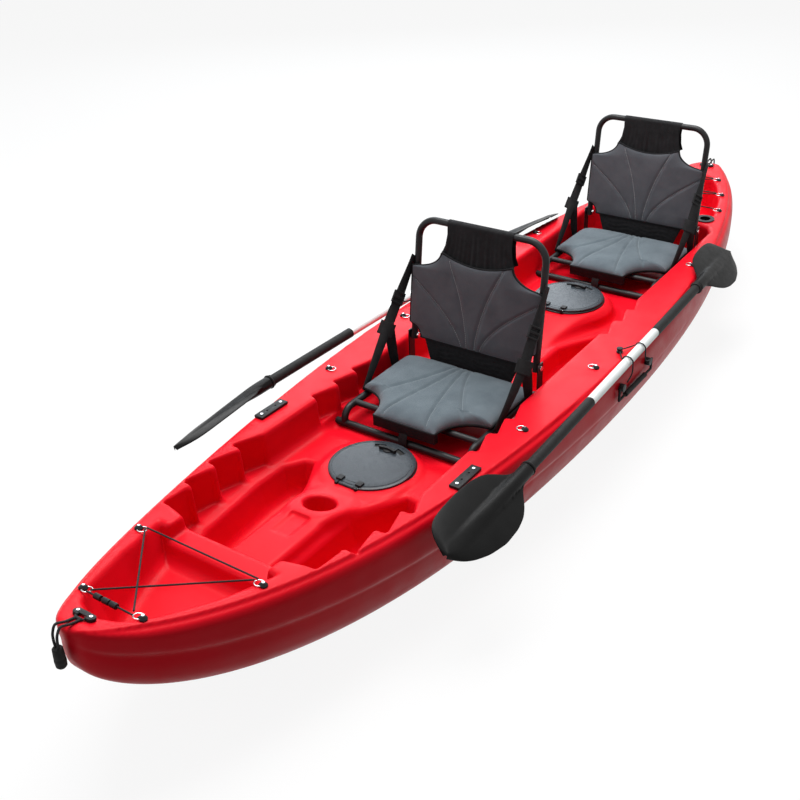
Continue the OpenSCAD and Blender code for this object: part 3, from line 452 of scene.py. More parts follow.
def cockpit_void(x, y, z):
    """The cockpit's hollow, less the spine, the front hatch's seat and the hump of the middle hatch."""
    floor = FLOOR_Z + FLOOR_LIFT * ease(np.clip((x - FLOOR_LIFT_X) / 0.07, 0, 1))
    hollow = basin(COCKPIT, floor, RAIL_H, 0.008)(x, y, z)
    lean = SPINE_DRAFT * (z - FLOOR_Z)
    slope = ease(np.clip((x - FRONT_HATCH_X - 0.125) / 0.19, 0, 1))
    slope_z = FRONT_HATCH_Z + (SPINE_Z - FRONT_HATCH_Z) * slope
    start = FRONT_HATCH_X + HATCH_R + 0.083
    spine = round_cone(x, y, start, SPINE_R, COCKPIT_FRONT + 0.1, SPINE_R) + lean
    spine = smooth_max(spine, z - slope_z, 0.02)
    seat = np.sqrt((x - FRONT_HATCH_X) ** 2 + y ** 2) - HATCH_R - 0.012 + SPINE_DRAFT * (z - FRONT_HATCH_Z)
    seat = smooth_max(seat, z - FRONT_HATCH_Z, 0.012)
    ramp = round_cone(x, y, FRONT_HATCH_X + 0.06, HATCH_R + 0.004, start + 0.05, SPINE_R) + lean
    ramp = smooth_max(ramp, z - slope_z, 0.02)
    t = np.clip((z - FLOOR_Z - 0.004) / (MID_HATCH_Z - FLOOR_Z - 0.004), 0, 1)
    top_r = HATCH_R + 0.014
    radius = np.interp(z, (0.06, MID_HATCH_Z - 0.02, MID_HATCH_Z), (HATCH_R + 0.062, HATCH_R + 0.032, top_r))
    hump = round_cone(x, y, MID_HATCH_X, radius, -0.215 - 0.229 * t, 0.07 + (top_r - 0.07) * t)
    hump = smooth_max(hump, z - MID_HATCH_Z, 0.014)
    for solid in (spine, seat, ramp, hump):
        hollow = smooth_max(hollow, -solid, 0.022)
    return hollow


def step_void(x_step, run, depth, z0, s):
    """One foot step in the cockpit's side: deep at its front and run out behind."""
    corner = 0.009
    w, w_back = side_w(x_step), side_w(x_step - run)
    plan = [(x_step - corner, w + depth - corner), (x_step - corner, w - 0.04),
            (x_step - run, w_back - 0.04), (x_step - run + 0.01, w_back - 0.004)]

    def void(x, y, z):
        d = polygon_distance(x[:, :, 0], s * y[:, :, 0], plan)[:, :, None] - corner
        return smooth_max(d, z0 - z, STEP_FILLET)
    return void


def round_void(x0, y0, r, z0, z1=ABOVE, taper=0.0):
    def void(x, y, z):
        d = np.sqrt((x - x0) ** 2 + (y - y0) ** 2) - r - taper * (z - z0)
        return np.maximum(smooth_max(d, z0 - z, HOLE_FILLET), z - z1)
    return void


def box_void(x0, x1, half, z0, corner):
    def void(x, y, z):
        qx = np.abs(x - (x0 + x1) / 2) - (x1 - x0) / 2 + corner
        qy = np.abs(y) - half + corner
        outside = np.sqrt(np.maximum(qx, 0) ** 2 + np.maximum(qy, 0) ** 2)
        d = outside + np.minimum(np.maximum(qx, qy), 0) - corner
        return smooth_max(d, np.maximum(z0 - z, z - ABOVE), BOX_FILLET)
    return void


def footwell_void(plan):
    hollow = basin(plan, WELL_Z, FLOOR_Z, 0.016)
    return lambda x, y, z: np.maximum(hollow(x, y, z), z - FLOOR_Z - 0.03)


def around(x0, y0, reach):
    """The box of the grid within reach of a point in plan."""
    return (x0 - reach, x0 + reach), (y0 - reach, y0 + reach)


def make_hull():
    f = Field()
    wide = (-0.5, 0.5)
    f.cut(((COCKPIT_BACK - 0.05, COCKPIT_FRONT + 0.08), wide), cockpit_void, 0.016)
    for s, _ in SIDES:
        half = (0.02, 0.34) if s > 0 else (-0.34, -0.02)
        for well in (FRONT_WELL, REAR_WELL):
            span = (min(p[0] for p in well) - 0.05, max(p[0] for p in well) + 0.05)
            f.cut((span, half), footwell_void([(x, s * y) for x, y in well]), RIM_FILLET)
        for x_step, run, depth, z0 in STEPS:
            f.cut(((x_step - run - 0.05, x_step + 0.03), half), step_void(x_step, run, depth, z0, s), 0.008)
        f.cut(around(ROD_X, s * ROD_Y, 0.05), round_void(ROD_X, s * ROD_Y, ROD_R + 0.0036, 0.14), 0.002)
        for x0, y0 in SCUPPERS:
            hole = round_void(x0, s * y0, SCUPPER_R + 0.0044, -1.0, WELL_Z + 0.02)
            f.cut(around(x0, s * y0, 0.04), hole, 0.003)
    bow_well = basin(BOW_WELL, BOW_WELL_Z, BOW_WELL_TOP, 0.024)
    f.cut(((HALF_L - 0.52, HALF_L), wide), bow_well, RIM_FILLET)
    stern_well = basin(STERN_WELL, STERN_WELL_Z, STERN_WELL_TOP, 0.022)
    f.cut(((-HALF_L, -HALF_L + 0.62), wide), stern_well, RIM_FILLET)
    saddle = box_void(COCKPIT_FRONT - 0.056, HALF_L - 0.414, 0.156, SADDLE_Z, 0.026)
    f.cut(((COCKPIT_FRONT - 0.1, HALF_L - 0.36), (-0.2, 0.2)), saddle, RIM_FILLET)
    f.cut(((0.95, 1.08), (-0.07, 0.07)), round_void(CUP_X, 0, CUP_R - 0.004, CUP_Z, taper=0.07), 0.010)
    f.cut(((1.07, 1.21), (-0.05, 0.05)), box_void(1.092, 1.184, 0.031, SPINE_Z - 0.006, 0.006), 0.004)
    f.cut(around(ROD_X, 0, 0.03), round_void(ROD_X, 0, 0.0124, 0.25), 0.002)
    for _, x0, _ in HATCHES:
        f.cut(around(x0, 0, 0.2), round_void(x0, 0, HATCH_R - 0.0246, 0.03), 0.003)
    grid = openvdb.FloatGrid(1.0)
    grid.copyFromArray(f.d)
    points, triangles, quads = grid.convertToPolygons(0.0, 0.0)
    origin = np.array((f.xs[0], f.ys[0], f.zs[0]), np.float64)
    verts = points.astype(np.float64) * VOXEL + origin
    faces = [tuple(reversed(q)) for q in quads.tolist()] + [tuple(reversed(t)) for t in triangles.tolist()]
    hull = add_mesh("moulded_hull", verts, faces, "hull")
    fix_normals(hull)
    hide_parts("hull_pan", "deck")
    return hull


hull = make_hull()


# Procedural materials
NOISE_ROUGHNESS, GLOSS_SPREAD = 0.55, 0.06
BAND_PITCH = 0.314159


def add_node(tree, kind, inputs, **settings):
    """A shader node whose inputs are set to values or linked to other nodes' sockets."""
    node = tree.nodes.new("ShaderNode" + kind)
    for name, value in settings.items():
        setattr(node, name, value)
    for name, value in inputs.items():
        if isinstance(value, bpy.types.NodeSocket):
            tree.links.new(value, node.inputs[name])
        else:
            node.inputs[name].default_value = value
    return node


def mix_color(tree, factor, a, b, blend="MIX"):
    """Two colours mixed, with Blender's own numbers for the colour sockets of its Mix node."""
    return add_node(tree, "Mix", {0: factor, 6: a, 7: b}, data_type="RGBA", blend_type=blend).outputs[2]


def noise(tree, coords, scale, detail=3.0):
    inputs = {"Vector": coords, "Scale": scale, "Detail": detail, "Roughness": NOISE_ROUGHNESS}
    return add_node(tree, "TexNoise", inputs).outputs["Fac"]


def ranged(tree, value, low, high, start=0.3, stop=0.7):
    inputs = {"Value": value, "From Min": start, "From Max": stop, "To Min": low, "To Max": high}
    return add_node(tree, "MapRange", inputs).outputs["Result"]


def wave(tree, coords, axis, pitch):
    """Bands along one axis with the given pitch in metres; at scale 1 their pitch is BAND_PITCH."""
    inputs = {"Vector": coords, "Scale": BAND_PITCH / pitch, "Detail": 0}
    node = add_node(tree, "TexWave", inputs, wave_type="BANDS", bands_direction=axis, wave_profile="SIN")
    return node.outputs["Fac"]


def math_node(tree, operation, a, b):
    return add_node(tree, "Math", {0: a, 1: b}, operation=operation).outputs[0]


def bump(tree, height, distance, strength, below=None):
    inputs = {"Height": height, "Distance": distance, "Strength": strength}
    if below is not None:
        inputs["Normal"] = below
    return add_node(tree, "Bump", inputs).outputs["Normal"]


def material(name, color, other, rough, *, patch, grain, depth=0.0002, weave=None, metallic=0.0, sheen=0.0,
             specular=0.5):
    """A surface with slow colour drift, uneven gloss and a fine grain or weave."""
    mat = bpy.data.materials.new(name)
    mat.use_nodes = True
    tree = mat.node_tree
    shader = tree.nodes["Principled BSDF"]
    coords = tree.nodes.new("ShaderNodeTexCoord").outputs["Object"]
    drift = ranged(tree, noise(tree, coords, patch), 0, 1)
    base = mix_color(tree, drift, (*color, 1), (*other, 1))
    normal = bump(tree, noise(tree, coords, grain, 2.0), depth, 0.6)
    if weave:
        (warp, weft), pitch, height = weave
        warp_bands, weft_bands = wave(tree, coords, warp, pitch), wave(tree, coords, weft, pitch)
        threads = math_node(tree, "MULTIPLY", warp_bands, weft_bands)
        normal = bump(tree, threads, height, 0.8, normal)
        level = ranged(tree, threads, 0.72, 1.06, 0.0, 1.0)
        gray = add_node(tree, "CombineColor", {0: level, 1: level, 2: level}).outputs[0]
        base = mix_color(tree, 1.0, base, gray, "MULTIPLY")
    gloss = ranged(tree, noise(tree, coords, patch * 3.1), rough - GLOSS_SPREAD, rough + GLOSS_SPREAD)
    for key, socket in (("Base Color", base), ("Roughness", gloss), ("Normal", normal)):
        tree.links.new(socket, shader.inputs[key])
    shader.inputs["Metallic"].default_value = metallic
    shader.inputs["Specular IOR Level"].default_value = specular
    shader.inputs["Sheen Weight"].default_value = sheen
    return mat


RED = material("red_polyethylene", (0.74, 0.004, 0.016), (0.66, 0.003, 0.012), 0.38,
               patch=5, grain=420, depth=0.0003, specular=0.1)
HATCH = material("hatch_plastic", (0.036, 0.044, 0.052), (0.028, 0.035, 0.042), 0.27,
                 patch=22, grain=700, specular=0.24)
BLACK = material("black_plastic", (0.012, 0.012, 0.013), (0.020, 0.020, 0.021), 0.42,
                 patch=40, grain=900, specular=0.14)
RUBBER = material("rubber", (0.010, 0.010, 0.010), (0.018, 0.018, 0.018), 0.6,
                  patch=60, grain=1400, specular=0.14)
STEEL = material("polished_steel", (0.72, 0.72, 0.73), (0.60, 0.60, 0.62), 0.2,
                 patch=120, grain=2400, depth=0.00005, metallic=1.0)
TUBE = material("powder_coat", (0.010, 0.010, 0.011), (0.017, 0.017, 0.018), 0.36,
                patch=18, grain=1800, depth=0.0001, specular=0.22)
SHAFT = material("anodised_shaft", (0.80, 0.83, 0.82), (0.72, 0.75, 0.75), 0.34,
                 patch=16, grain=1500, depth=0.00005, metallic=0.25)
BLADE = material("blade_plastic", (0.005, 0.005, 0.005), (0.008, 0.008, 0.008), 0.4,
                 patch=12, grain=800, specular=0.1)
SEAT_CLOTH = material("seat_cloth", (0.150, 0.188, 0.213), (0.104, 0.134, 0.156), 0.84,
                      patch=14, grain=2600, weave=("XY", 0.0016, 0.0004), sheen=0.15, specular=0.25)
BACK_CLOTH = material("back_cloth", (0.128, 0.140, 0.158), (0.096, 0.106, 0.122), 0.86,
                      patch=14, grain=2600, weave=("YZ", 0.0016, 0.0004), sheen=0.15, specular=0.25)
BINDING = material("binding_tape", (0.010, 0.010, 0.011), (0.018, 0.018, 0.020), 0.8,
                   patch=60, grain=2600, weave=("XY", 0.0011, 0.0003), specular=0.16)
NET = material("mesh_cloth", (0.011, 0.011, 0.012), (0.020, 0.020, 0.022), 0.78,
               patch=30, grain=2400, weave=("YZ", 0.0030, 0.0008), specular=0.16)
WEB = material("webbing", (0.010, 0.010, 0.011), (0.018, 0.018, 0.019), 0.72,
               patch=50, grain=2400, weave=("XZ", 0.0018, 0.0005), specular=0.16)
CORD = material("braided_cord", (0.012, 0.012, 0.013), (0.026, 0.026, 0.028), 0.7,
                patch=300, grain=2000, depth=0.0005, specular=0.2)
SEAM_DARK = material("seam_thread", (0.27, 0.30, 0.32), (0.20, 0.23, 0.25), 0.8, patch=200, grain=3000)
SEAM_LIGHT = material("seam_thread_light", (0.34, 0.35, 0.36), (0.27, 0.28, 0.29), 0.8, patch=200, grain=3000)


# Looks of the CAD pieces that show as they are, with the rounding of the moulded ones
PADDLE_HALVES = [f"{side}_{end}" for _, side in SIDES for end, _ in SEATS]
NODE_LOOKS = (
    (RED, ["scupper_tubes"]),
    (BLACK, ["drain_plug", "hatch_rims", "pad_eyes", "bungee_locks", "end_plates", "rod_holders",
             "gear_plates", "handle_anchors", "keeper_buttons", "seat_bar_caps"]),
    (STEEL, ["hinge_pins", "pad_eye_rings", "deck_screws"]),
    (CORD, ["bow_bungee", "stern_bungee"]),
    (TUBE, [f"{end}_{part}_frame" for end, _ in SEATS for part in ("seat", "back")]),
    (RUBBER, ["hatch_seals", "bow_toggle", "stern_toggle", "port_handle", "starboard_handle"]),
    (RUBBER, [f"{half}_{part}" for half in PADDLE_HALVES for part in ("sleeve", "ring")]),
    (SHAFT, [f"{half}_shaft" for half in PADDLE_HALVES]))
MOULDED_EDGES = {"end_plates": 0.0026, "gear_plates": 0.0014, "handle_anchors": 0.0016,
                 "bungee_locks": 0.0014, "keeper_buttons": 0.0012, "seat_bar_caps": 0.0012,
                 "bow_toggle": 0.0020, "stern_toggle": 0.0020}


def round_edges(node, width):
    """Rounds the edges of a CAD piece once its flat faces are whole."""
    node.modifiers.new("weld", "WELD").merge_threshold = 0.00001
    flat = node.modifiers.new("flat", "DECIMATE")
    flat.decimate_type = "DISSOLVE"
    flat.angle_limit = math.radians(1)
    soften(node, width)


for look, names in NODE_LOOKS:
    for name in names:
        dress(NODES[name], look)
        if name in MOULDED_EDGES:
            round_edges(NODES[name], MOULDED_EDGES[name])
        split_edges(NODES[name], SHARP_ANGLE)
dress(hull, RED)


# Sewn cushions, bands that also paint the shade behind the seats, neck panels and straps
SEAM_W = 0.006
SEAT_SEAMS, BACK_SEAMS = (-1, -0.36, 0.36, 1), (-1, -0.42, 0.42, 1)
STITCH_PITCH, STITCH_R = 0.0064, 0.0010
SEAT_BACK_X, SEAT_PAD_HALF, NOTCH_R = 0.255, 0.226, 0.118
BACK_HALF, BACK_FOOT_Z, BACK_TOP_Z = 0.229, 0.004, 0.297
NECK_DROP = 0.087
STRAP_W, STRAP_TWIST, BUCKLE_AT = 0.034, math.radians(40), 0.62
WEB_SECTION = ((-0.5, -0.35), (-0.47, 0.5), (0.47, 0.5), (0.5, 0.35), (0.5, -0.35), (0.47, -0.5),
               (-0.47, -0.5))


def edge_rise(v):
    """1 in the middle of a cushion, falling steeply to 0 at its edges."""
    return np.sqrt(np.maximum(0, 1 - np.abs(v) ** 6))


def channel(d):
    """The dent of a seam at distance d."""
    return np.exp(-(d / SEAM_W) ** 2)


def crumple(a, b, size):
    """Small even folds, made from a few crossing waves."""
    broad = 0.5 * np.sin(41 * a + 9 * b + 3 * np.sin(11 * b))
    middle = 0.3 * np.sin(73 * b - 17 * a + 2 * np.sin(23 * a))
    return size * (broad + middle + 0.2 * np.sin(130 * a + 61 * b))


def spread(n):
    """Values from -1 to 1, closer together at both ends."""
    return np.sin(np.linspace(-math.pi / 2, math.pi / 2, n))


def quilt(name, body, front, back, cloth):
    """A closed cushion from two facing grids, with binding tape on its rim and rear."""
    n, m = front.shape[:2]
    verts = np.concatenate((front.reshape(-1, 3), back.reshape(-1, 3)))
    face = np.array(grid_faces(n, m))
    faces = [tuple(f) for f in face.tolist()] + [tuple(reversed(f)) for f in (face + n * m).tolist()]
    ring = [i * m for i in range(n)] + [(n - 1) * m + j for j in range(1, m)]
    ring += [i * m + m - 1 for i in range(n - 2, -1, -1)] + list(range(m - 2, 0, -1))
    for a, b in zip(ring, ring[1:] + ring[:1]):
        faces.append((a, b, b + n * m, a + n * m))
    obj = add_mesh(name, verts.tolist(), faces, body)
    fix_normals(obj)
    obj.data.materials.append(cloth)
    obj.data.materials.append(BINDING)
    for p in obj.data.polygons:
        p.material_index = 0 if p.index < len(face) else 1
    return obj, [verts[i] for i in ring]


def add_stitch(verts, faces, mid, along, up):
    """One short raised stitch, thinner at both ends."""
    side = along.cross(up).normalized()
    i = len(verts)
    for t, w in ((-0.38, 0.45), (-0.2, 1), (0.2, 1), (0.38, 0.45)):
        for k in range(6):
            q = math.pi * k / 3
            spoke = side * math.cos(q) + up * math.sin(q)
            verts.append(mid + along * (t * STITCH_PITCH) + spoke * (STITCH_R * w))
    for r in range(i, i + 18, 6):
        for k in range(6):
            k2 = (k + 1) % 6
            faces.append((r + k, r + k2, r + 6 + k2, r + 6 + k))
    faces.append(tuple(range(i + 5, i - 1, -1)))
    faces.append(tuple(range(i + 18, i + 24)))


def sew(name, body, lines, up, thread):
    """Rows of stitches along lines of points, raised towards up."""
    verts, faces = [], []
    for line in lines:
        travelled, due = 0.0, 0.0
        for a, b in zip(line, line[1:]):
            d = b - a
            while due < travelled + d.length:
                add_stitch(verts, faces, a + d * ((due - travelled) / d.length), d.normalized(), up)
                due += STITCH_PITCH
            travelled += d.length
    dress(add_mesh(name, verts, faces, body), thread)


def seam_lines(seams, seam_at, half_at, point_at):
    """Points along each seam, as far as it lies on the cushion."""
    lines = []
    for c in seams:
        line = []
        for u in np.linspace(0.03, 0.97, 90):
            y = float(seam_at(u, c))
            if abs(y) < float(half_at(u)) - 0.012:
                line.append(point_at(u, y))
        lines.append(line)
    return lines


def add_binding(name, body, ring):
    """Bound edge tape along a cushion's rim."""
    path = []
    for q in ring:
        q = Vector(q)
        if not path or (q - path[-1]).length > 0.004:
            path.append(q)
    dress(add_tube(name, path, 0.0032, body, 10, closed=True), BINDING)


def seat_half(u):
    """Half width of the seat cushion, with its front corners scooped out."""
    k = PAD_L * (1 - u)
    return SEAT_PAD_HALF - np.sqrt(np.maximum(0, NOTCH_R ** 2 - k ** 2))


def seat_seam(u, c):
    return c * (0.026 + 0.190 * u ** 1.5)


def seat_top(u, y):
    v = np.clip(y / seat_half(u), -1, 1)
    rise = edge_rise(v) * edge_rise(2 * u - 1)
    seam = sum(channel(y - seat_seam(u, c)) for c in SEAT_SEAMS)
    folds = crumple(u, y * 3, 0.0007) * rise * (0.4 + np.minimum(1, seam))
    return PAD_Z + 0.010 + 0.034 * rise - 0.0065 * rise * np.minimum(seam, 1.1) + folds


def seat_cushion(name, node, shift):
    def stitch_at(u, y):
        return Vector((SEAT_BACK_X + shift + u * PAD_L, y, float(seat_top(u, y)) + 0.0003))

    u, v = np.meshgrid((spread(120) + 1) / 2, spread(150), indexing="ij")
    y = v * seat_half(u)
    rise = edge_rise(v) * edge_rise(2 * u - 1)
    x = SEAT_BACK_X + shift + u * PAD_L
    top = np.stack((x, y, seat_top(u, y)), -1)
    low = np.where(u > 0.955, PAD_Z - 0.024, PAD_Z + 0.004 * (1 - rise))
    pad, ring = quilt(name, "hull", top, np.stack((x, y, low), -1), SEAT_CLOTH)
    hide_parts(node)
    add_binding(f"{name}_binding", "hull", ring)
    lines = seam_lines(SEAT_SEAMS, seat_seam, seat_half, stitch_at)
    sew(f"{name}_stitches", "hull", lines, Vector((0, 0, 1)), SEAM_DARK)


def back_place(shift):
    return Matrix.Translation((SEAT_X + shift, 0, HINGE_Z)) @ Matrix.Rotation(-LEAN, 4, "Y")


def back_half(u):
    """Half width of the backrest cushion, drawn in at its foot and its head."""
    foot = np.sqrt(np.maximum(0, 1 - (u / 0.145) ** 2))
    head = np.sqrt(np.maximum(0, 1 - ((1 - u) / 0.2) ** 2))
    return BACK_HALF - 0.044 * foot - 0.104 * head


def back_seam(u, c):
    flare = 0.360 if abs(c) == 1 else 0.200
    return c * (0.034 + flare * u ** 1.6)


def back_z(u, y):
    """Height up the backrest, with the top edge hollowed between its notches."""
    hollow = 0.026 * np.maximum(0, 1 - (y / 0.125) ** 2)
    rise = BACK_FOOT_Z + u * (BACK_TOP_Z - BACK_FOOT_Z)
    return rise - hollow * np.clip((u - 0.55) / 0.45, 0, 1) ** 1.5


def back_front(u, y):
    e = edge_rise(np.clip(y / back_half(u), -1, 1)) * edge_rise(2 * u - 1)
    seam = sum(channel(y - back_seam(u, c)) for c in BACK_SEAMS)
    folds = crumple(u, y * 3, 0.0006) * e * (0.4 + np.minimum(1, seam))
    return 0.0194 + 0.010 * e - 0.0038 * e * np.minimum(seam, 1.1) + folds


def back_quilt(name, body, place, front_x, rear_x, y, z, cloth):
    """A cushion of the backrest, put in place from its upright form."""
    turn, move = np.array(place.to_3x3()).T, np.array(place.translation)
    front, rear = (np.stack((x, y, z), -1) @ turn + move for x in (front_x, np.full_like(y, rear_x)))
    return quilt(name, body, front, rear, cloth)


def back_cushion(name, node, body, shift):
    def stitch_at(u, y):
        return place @ Vector((float(back_front(u, y)) + 0.0005, y, float(back_z(u, y))))

    place = back_place(shift)
    u, v = np.meshgrid((spread(110) + 1) / 2, spread(150), indexing="ij")
    y = v * back_half(u)
    z = back_z(u, y)
    pad, ring = back_quilt(name, body, place, back_front(u, y), 0.0116, y, z, BACK_CLOTH)
    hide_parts(node)
    add_binding(f"{name}_binding", body, ring)
    lines = seam_lines(BACK_SEAMS, back_seam, back_half, stitch_at)
    sew(f"{name}_stitches", body, lines, place.to_3x3() @ Vector((1, 0, 0)), SEAM_LIGHT)
    # Dark band under the cushion whose lower part reaches the seat as painted shade behind the seat pad
    band_and_painted_shade(f"{name}_band", body, place)


def band_and_painted_shade(name, body, place):
    """Dark creased band, sewn under the cushion, that hangs down behind the seat; its lower part, reaching
    down to the seat, is a dark sheet standing in for painted shade behind the seat pad.
    """
    u, v = np.meshgrid(np.linspace(0, 1, 40), spread(80), indexing="ij")
    y = v * (0.146 + 0.032 * u)
    z = -0.074 + u * 0.086
    e = edge_rise(v) * np.sin(math.pi * np.clip(u, 0.02, 0.98)) ** 0.5
    out = 0.0136 + (0.0026 + 0.0046 * u) * e + crumple(u * 0.8, y * 4, 0.0009) * e
    back_quilt(name, body, place, out, 0.0118, y, z, BINDING)


def neck_panel(name, node, body, shift):
    """A net sleeve folded over the top tube, drawn in by its own folds."""
    place = back_place(shift)
    top = BACK_H - TUBE_R
    r = TUBE_R + 0.0024
    rows = []
    for t in np.linspace(0, 1, 22):
        rows.append((0.0128 + 0.0006 * (1 - t), top - NECK_DROP + t * NECK_DROP, 1.0 - t))
    for k in range(1, 12):
        a = math.pi * k / 12
        rows.append((r * math.cos(a), top + r * math.sin(a), 0.0))
    for t in np.linspace(0, 1, 22):
        rows.append((-0.0128 - 0.0006 * t, top - t * NECK_DROP, t))
    m = 120
    v = np.linspace(-1, 1, m)
    verts = []
    for x, z, drop in rows:
        half = np.interp(drop * NECK_DROP, (0, 0.030, 0.066, NECK_DROP), (0.114, 0.112, 0.117, 0.126))
        sag = 0.034 * drop * drop * (1 - v * v)
        ripple = 0.0016 * drop * np.sin(21 * v + 3 * np.sin(5 * v)) + 0.0009 * drop * np.sin(47 * v + 2)
        out = x + (ripple if x > 0 else -0.6 * ripple)
        for k in range(m):
            verts.append(place @ Vector((out[k], v[k] * half, z - sag[k])))
    obj = add_mesh(name, verts, grid_faces(len(rows), m), body)
    dress(obj, NET)
    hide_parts(node)
    edge_low = [Vector(verts[k]) for k in range(0, m, 2)]
    dress(add_tube(f"{name}_hem", edge_low, 0.0026, body, 8), BINDING)


def ribbon(name, body, points, width, across, thick=0.002, twist=(0.0, 0.0)):
    """Flat webbing through points, with across as its width direction, twisted by an angle at each end."""
    path = smooth_path(points, 10)
    verts = []
    for i, q in enumerate(path):
        a, b = path[max(0, i - 1)], path[min(len(path) - 1, i + 1)]
        d = (b - a).normalized()
        side = (across - d * across.dot(d)).normalized()
        turn = ease(i / (len(path) - 1))
        side.rotate(Matrix.Rotation(twist[0] + (twist[1] - twist[0]) * turn, 3, d))
        up = d.cross(side)
        for w, t in WEB_SECTION:
            verts.append(q + side * (w * width) + up * (t * thick))
    return dress(add_rings(name, verts, len(path), len(WEB_SECTION), body), WEB)


for end, shift in SEATS:
    seat_cushion(f"{end}_seat_cushion", f"{end}_seat_pad", shift)
    back_cushion(f"{end}_back_cushion", f"{end}_back_pad", f"{end}_backrest", shift)
    neck_panel(f"{end}_neck_panel", f"{end}_back_neck", f"{end}_backrest", shift)


def make_buckle(name, centre, run, turn):
    """A two-slot ladder buckle lying in the plane of its strap."""
    buckle = block(name, (-0.020, -0.0035, -0.021), (0.020, 0.0035, 0.021))
    slots = [block("slot", (x - 0.0055, -0.01, -0.0165), (x + 0.0055, 0.01, 0.0165)) for x in (-0.009, 0.009)]
    carve(buckle, slots)
    soften(buckle, 0.0014, 2)
    apply_modifiers(buckle)
    buckle.data.transform(Matrix.Translation(centre) @ Matrix.Rotation(turn, 4, run)
                          @ Matrix.Rotation(math.atan2(-run.z, run.x), 4, "Y"))
    return dress(buckle, BLACK)


def make_straps(end, shift):
    """Y straps on each side of a seat, with their buckles, and the seat pad's loop."""
    for s, side in SIDES:
        name = f"{end}_{side}_strap"
        top = Vector((0.192 + shift, s * 0.2348, 0.588))
        mid = Vector((0.334 + shift, s * 0.2448, 0.406))
        front = Vector((0.490 + shift, s * 0.2348, 0.242))
        low = Vector((0.294 + shift, s * 0.2428, 0.193))
        run = (mid - top).normalized()
        across = Vector((run.z, 0, -run.x))
        route = [top, top.lerp(mid, 0.35), top.lerp(mid, 0.7), mid]
        upper = ribbon(f"{name}_upper", None, route, STRAP_W, across, twist=(0, STRAP_TWIST))
        route = [mid - run * 0.004, mid + run * 0.018, mid + run * 0.040]
        yoke = ribbon(f"{name}_yoke", None, route, 0.052, across, 0.0052, (STRAP_TWIST, STRAP_TWIST))
        buckle = make_buckle(f"{name}_buckle", top.lerp(mid, BUCKLE_AT), run, STRAP_TWIST * ease(BUCKLE_AT))
        for piece in (upper, yoke, buckle):
            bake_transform(piece)
        if s > 0 and end == "front":
            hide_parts("strap_buckles")
        for tag, tip, width in (("front", front, 0.030), ("low", low, STRAP_W)):
            d = (tip - mid).normalized()
            route = [mid, mid.lerp(tip, 0.5) + Vector((0, s * 0.002, -0.004)), tip]
            across = Vector((d.z, 0, -d.x))
            lower = ribbon(f"{name}_{tag}", None, route, width, across, twist=(STRAP_TWIST, 0))
            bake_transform(lower)
            if s > 0 and tag == "front":
                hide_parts(f"{end}_straps")
    loop = [(0.6175, 0.232), (0.6230, 0.222), (0.6262, 0.208), (0.6260, 0.194), (0.6222, 0.1855)]
    ribbon(f"{end}_pad_loop", "hull", [Vector((x + shift, 0, z)) for x, z in loop], 0.030, Vector((0, 1, 0)))


# Paddle blades and keepers
BLADE_U = (0, 0.14, 0.19, 0.26, 0.34, 0.45, 0.6, 0.75, 0.86, 0.93, 0.97, 1)
BLADE_INNER = np.array((20, 21, 36, 62, 78, 86, 90, 89, 84, 70, 48, 6)) / 1000
BLADE_OUTER = np.array((20, 21, 34, 58, 76, 86, 88, 76, 58, 40, 24, 4)) / 1000


def blade_ridge(u):
    """Height of the spine along the blade."""
    return np.interp(u, (0, 0.15, 0.3, 0.6, 0.85, 1), (19, 19, 15, 8, 3.4, 2.4)) / 1000


def smoothed(values, rounds):
    for _ in range(rounds):
        values = np.concatenate((values[:1], (values[:-2] + 2 * values[1:-1] + values[2:]) / 4, values[-1:]))
    return values


def stowed(s):
    """The place of a stowed paddle: port, or its mirror image."""
    turn = Matrix.Rotation(PADDLE_YAW, 4, "Z") @ Matrix.Rotation(-BLADE_TILT, 4, "X")
    place = Matrix.Translation(PADDLE) @ turn
    return place if s > 0 else Matrix.Scale(-1, 4, (0, 1, 0)) @ place


def make_blade(name, node, body, s, k):
    """A spoon blade with a raised spine that fades towards its tip."""
    n, m = 90, 44
    t = np.linspace(0, 1, n)
    us = t + 0.06 * np.sin(2 * math.pi * t) * t
    inner = smoothed(np.interp(us, BLADE_U, BLADE_INNER), 10)
    outer = smoothed(np.interp(us, BLADE_U, BLADE_OUTER), 10)
    ridge = smoothed(blade_ridge(us), 14)
    root = Matrix.Translation((PADDLE_L / 2 - BLADE_L, 0, 0))
    place = stowed(s) @ Matrix.Scale(k, 4, (1, 0, 0)) @ root
    verts = []
    for u, inside, outside, r in zip(us, inner, outer, ridge):
        for face in (1, -1):
            for v in spread(m) * face:
                y = v * (outside if v > 0 else inside)
                e = math.sqrt(max(0.0, 1 - min(1.0, (y / 0.021) ** 2)))
                lip = 0.0014 + 0.0008 * math.sqrt(max(0, 1 - abs(v) ** 8)) + (r - 0.002) * e
                z = -0.016 * u * u - 0.010 * u * v * v + face * lip
                verts.append(place @ Vector((u * BLADE_L, y, z)))
    obj = add_rings(name, verts, n, 2 * m, body)
    dress(obj, BLADE)
    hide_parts(node)


